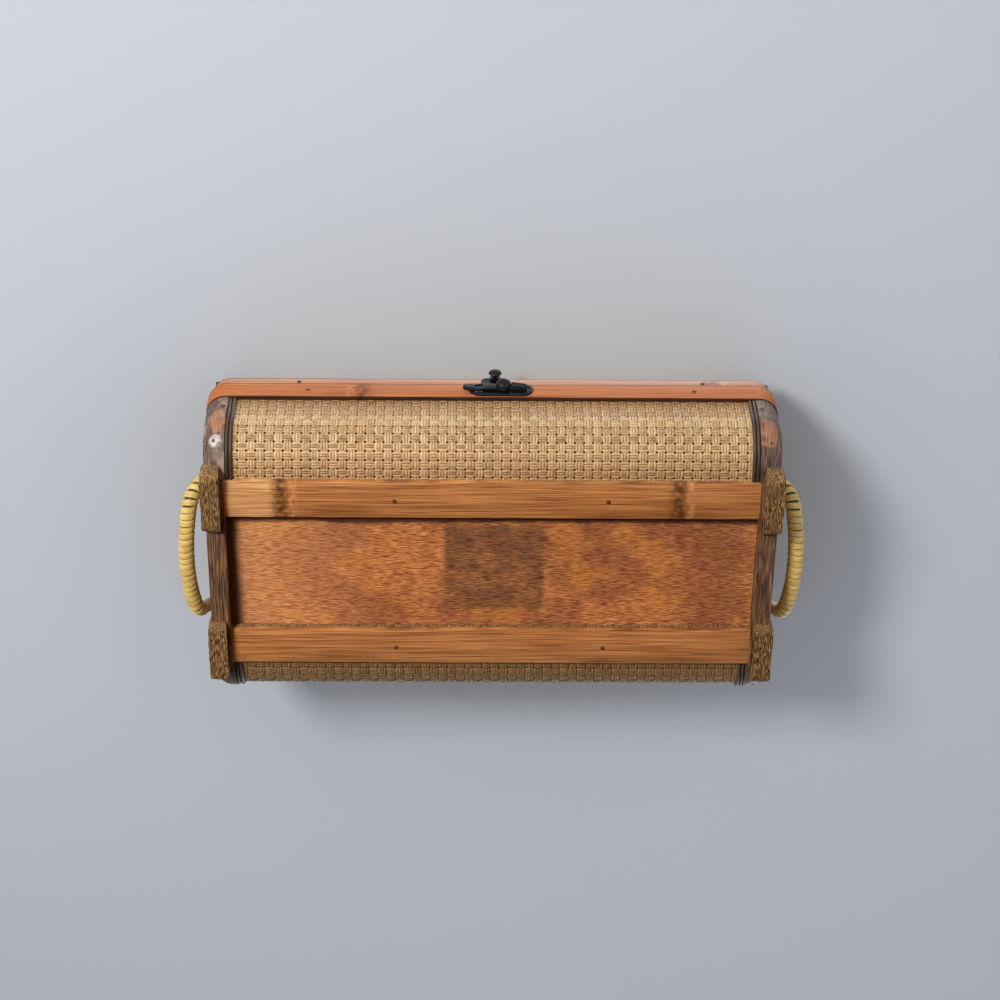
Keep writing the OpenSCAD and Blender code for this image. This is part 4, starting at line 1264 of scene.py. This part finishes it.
def lever_bar():
    """Rounded thumb bar with cross grooves on the lever's tapered arm."""
    length = LEVER_HI.x - PIVOT.x - BAR_SHORT - BAR_START
    stations = []
    for i in range(BAR_STEPS + 1):
        share = i / BAR_STEPS
        groove = 1 - GROOVE_DEPTH * (0.5 - 0.5 * math.cos(math.tau * BAR_GROOVES * share))
        blunt = math.sqrt(min(1, (1 - share) * 9 + 0.15))
        size = (1 - BAR_TAPER * share) * groove * blunt
        drop = (TIP_TOP - TIP_LOW) / 2 * share
        place = Vector((PIVOT.x + BAR_START + length * share, LEVER_LO.y + BAR_SINK, PIVOT.z + drop))
        stations.append((place, Z_AXIS * size, Y_AXIS * -size))
    turns = [math.pi * k / 12 for k in range(13)]
    section = [(BAR_HALF * math.cos(a), BAR_RISE * math.sin(a)) for a in turns]
    show_metal(sweep_mesh("lever_thumb_bar", stations, section), "latch_lever", "latch_lever")


def keeper_knob():
    """Grooved knob on the lid that the hook holds."""
    head_r = (STUD_HI.x - STUD_LO.x) / 2
    base = STUD_LO.y + HEAD_H
    edge = base - HEAD_EDGE
    profile = [(NECK_R, STUD_HI.y), (NECK_R, base), (head_r * 0.93, base), (head_r, edge)]
    profile += dome_points(head_r, edge, HEAD_RISE, 1, 7)
    show_metal(turned_mesh("keeper_knob", STUD, profile), "lid", "keeper_stud")


latch_base()
latch_dome()
lever_plate = slab("lever_plate", lever_outline(), LEVER_HI.y, LEVER_LO.y, bevel=0.3 * MM)
show_metal(lever_plate, "latch_lever", "latch_lever")
lever_bar()
keeper_knob()


# Finishes of the frame's own pieces that show as they are

HINGE_KINDS = ("hinge_leaf", "lid_leaf", "hinge_pin")
HINGE_PIECES = [f"{side_name}_{kind}" for side_name, _ in SIDES for kind in HINGE_KINDS]
KEPT = (
    (stained_board, ["left_end_board", "right_end_board", "left_lid_end", "right_lid_end"]),
    (stained_plywood, ["bottom_panel"]),
    (plain_bamboo, ["front_rail", "back_rail", "lid_front_rail", "lid_back_rail"]),
    (black_metal, ["keeper_plate"]),
    (rusted_iron, ["hinge_nails", "lid_hinge_nails"] + HINGE_PIECES),
)
for material, names in KEPT:
    for name in names:
        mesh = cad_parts[name].data
        mesh.materials.clear()
        mesh.materials.append(material)


# Stage, lights and camera

PALE = (0.6, 0.62, 0.65)
BACKDROP = (0.42, 0.435, 0.455)
WORLD_LIGHT = (0.36, 0.36, 0.36)


def one_sided(name, colour):
    """A matt surface that is seen from its front only."""
    material = bpy.data.materials.new(name)
    material.use_nodes = True
    n = Nodes(material.node_tree)
    shader = n.tree.nodes["Principled BSDF"]
    n.feed(shader.inputs["Base Color"], colour)
    n.feed(shader.inputs["Roughness"], 0.9)
    behind = n.add("ShaderNodeNewGeometry").outputs["Backfacing"]
    clear = n.add("ShaderNodeBsdfTransparent").outputs[0]
    mixed = n.add("ShaderNodeMixShader", i0=behind, i1=shader.outputs[0], i2=clear)
    n.feed(n.tree.nodes["Material Output"].inputs[0], mixed.outputs[0])
    return material


def stage_plane(name, centre, half, corners, colour):
    """A level plane that faces up if its corners run anticlockwise from above, and down if not."""
    points = [Vector(centre) + Vector((a * half, b * half, 0)) for a, b in corners]
    mesh = plain_mesh(name, points, [(0, 1, 2, 3)])
    mesh.materials.append(one_sided(name, colour))
    plane = linked(name, mesh)
    plane.visible_shadow = False


CORNERS = ((-1, -1), (1, -1), (1, 1), (-1, 1))
stage_plane("floor", (0, 0, 0), 4.0, CORNERS, PALE)
stage_plane("backdrop", (0, 0.15, cad_box[1].z + 0.5 * MM), 0.75, CORNERS[::-1], BACKDROP)


def area_light(name, place, target_z, size, power):
    """A round lamp that points at the middle of the chest."""
    lamp = bpy.data.lights.new(name, "AREA")
    lamp.shape = "DISK"
    lamp.size = size
    lamp.energy = power
    light = linked(name, lamp)
    light.location = place
    light.rotation_euler = (Vector((0, 0, target_z)) - Vector(place)).to_track_quat("-Z", "Y").to_euler()


area_light("key", (-0.9, -1.2, -1.2), 0.04, 0.5, 32)
area_light("top", (0.2, -0.3, 1.5), 0.05, 0.9, 16)
area_light("back", (0.6, 1.4, 0.6), 0.05, 0.8, 6)

world = bpy.data.worlds.new("soft studio")
bpy.context.scene.world = world
world.use_nodes = True
sky = Nodes(world.node_tree)
rays = sky.add("ShaderNodeLightPath").outputs
seen = sky.math("MAXIMUM", rays["Is Camera Ray"], rays["Is Glossy Ray"])
seen = sky.math("MAXIMUM", seen, rays["Is Transmission Ray"])
sky.feed(sky.tree.nodes["Background"].inputs["Color"], sky.mix(seen, WORLD_LIGHT, PALE))

# Camera, fitted to the feet and runners in the 1000 pixel picture
FOCAL_PX = 2471
PICTURE_PX = 1000
SENSOR_MM = 36
TILT = math.radians(31.9)
YAW = math.radians(0.83)
ROLL = math.radians(0.28)
CAMERA_AT = Vector((-15.9, -782.5, -1167.9)) * MM
ahead = Vector((0, math.sin(TILT), math.cos(TILT)))
up = Vector((0, -math.cos(TILT), math.sin(TILT)))
turned_ahead = ahead * math.cos(YAW) + X_AXIS * math.sin(YAW)
turned_right = X_AXIS * math.cos(YAW) - ahead * math.sin(YAW)
right = turned_right * math.cos(ROLL) + up * math.sin(ROLL)
camera_data = bpy.data.cameras.new("camera")
camera_data.sensor_width = SENSOR_MM
camera_data.lens = SENSOR_MM * FOCAL_PX / PICTURE_PX
camera_data.clip_start = 0.01
camera = linked("camera", camera_data)
turn = Matrix((right, right.cross(turned_ahead), -turned_ahead)).transposed()
camera.matrix_world = Matrix.Translation(CAMERA_AT) @ turn.to_4x4()
bpy.context.scene.camera = camera
bpy.context.scene.view_settings.view_transform = "Standard"
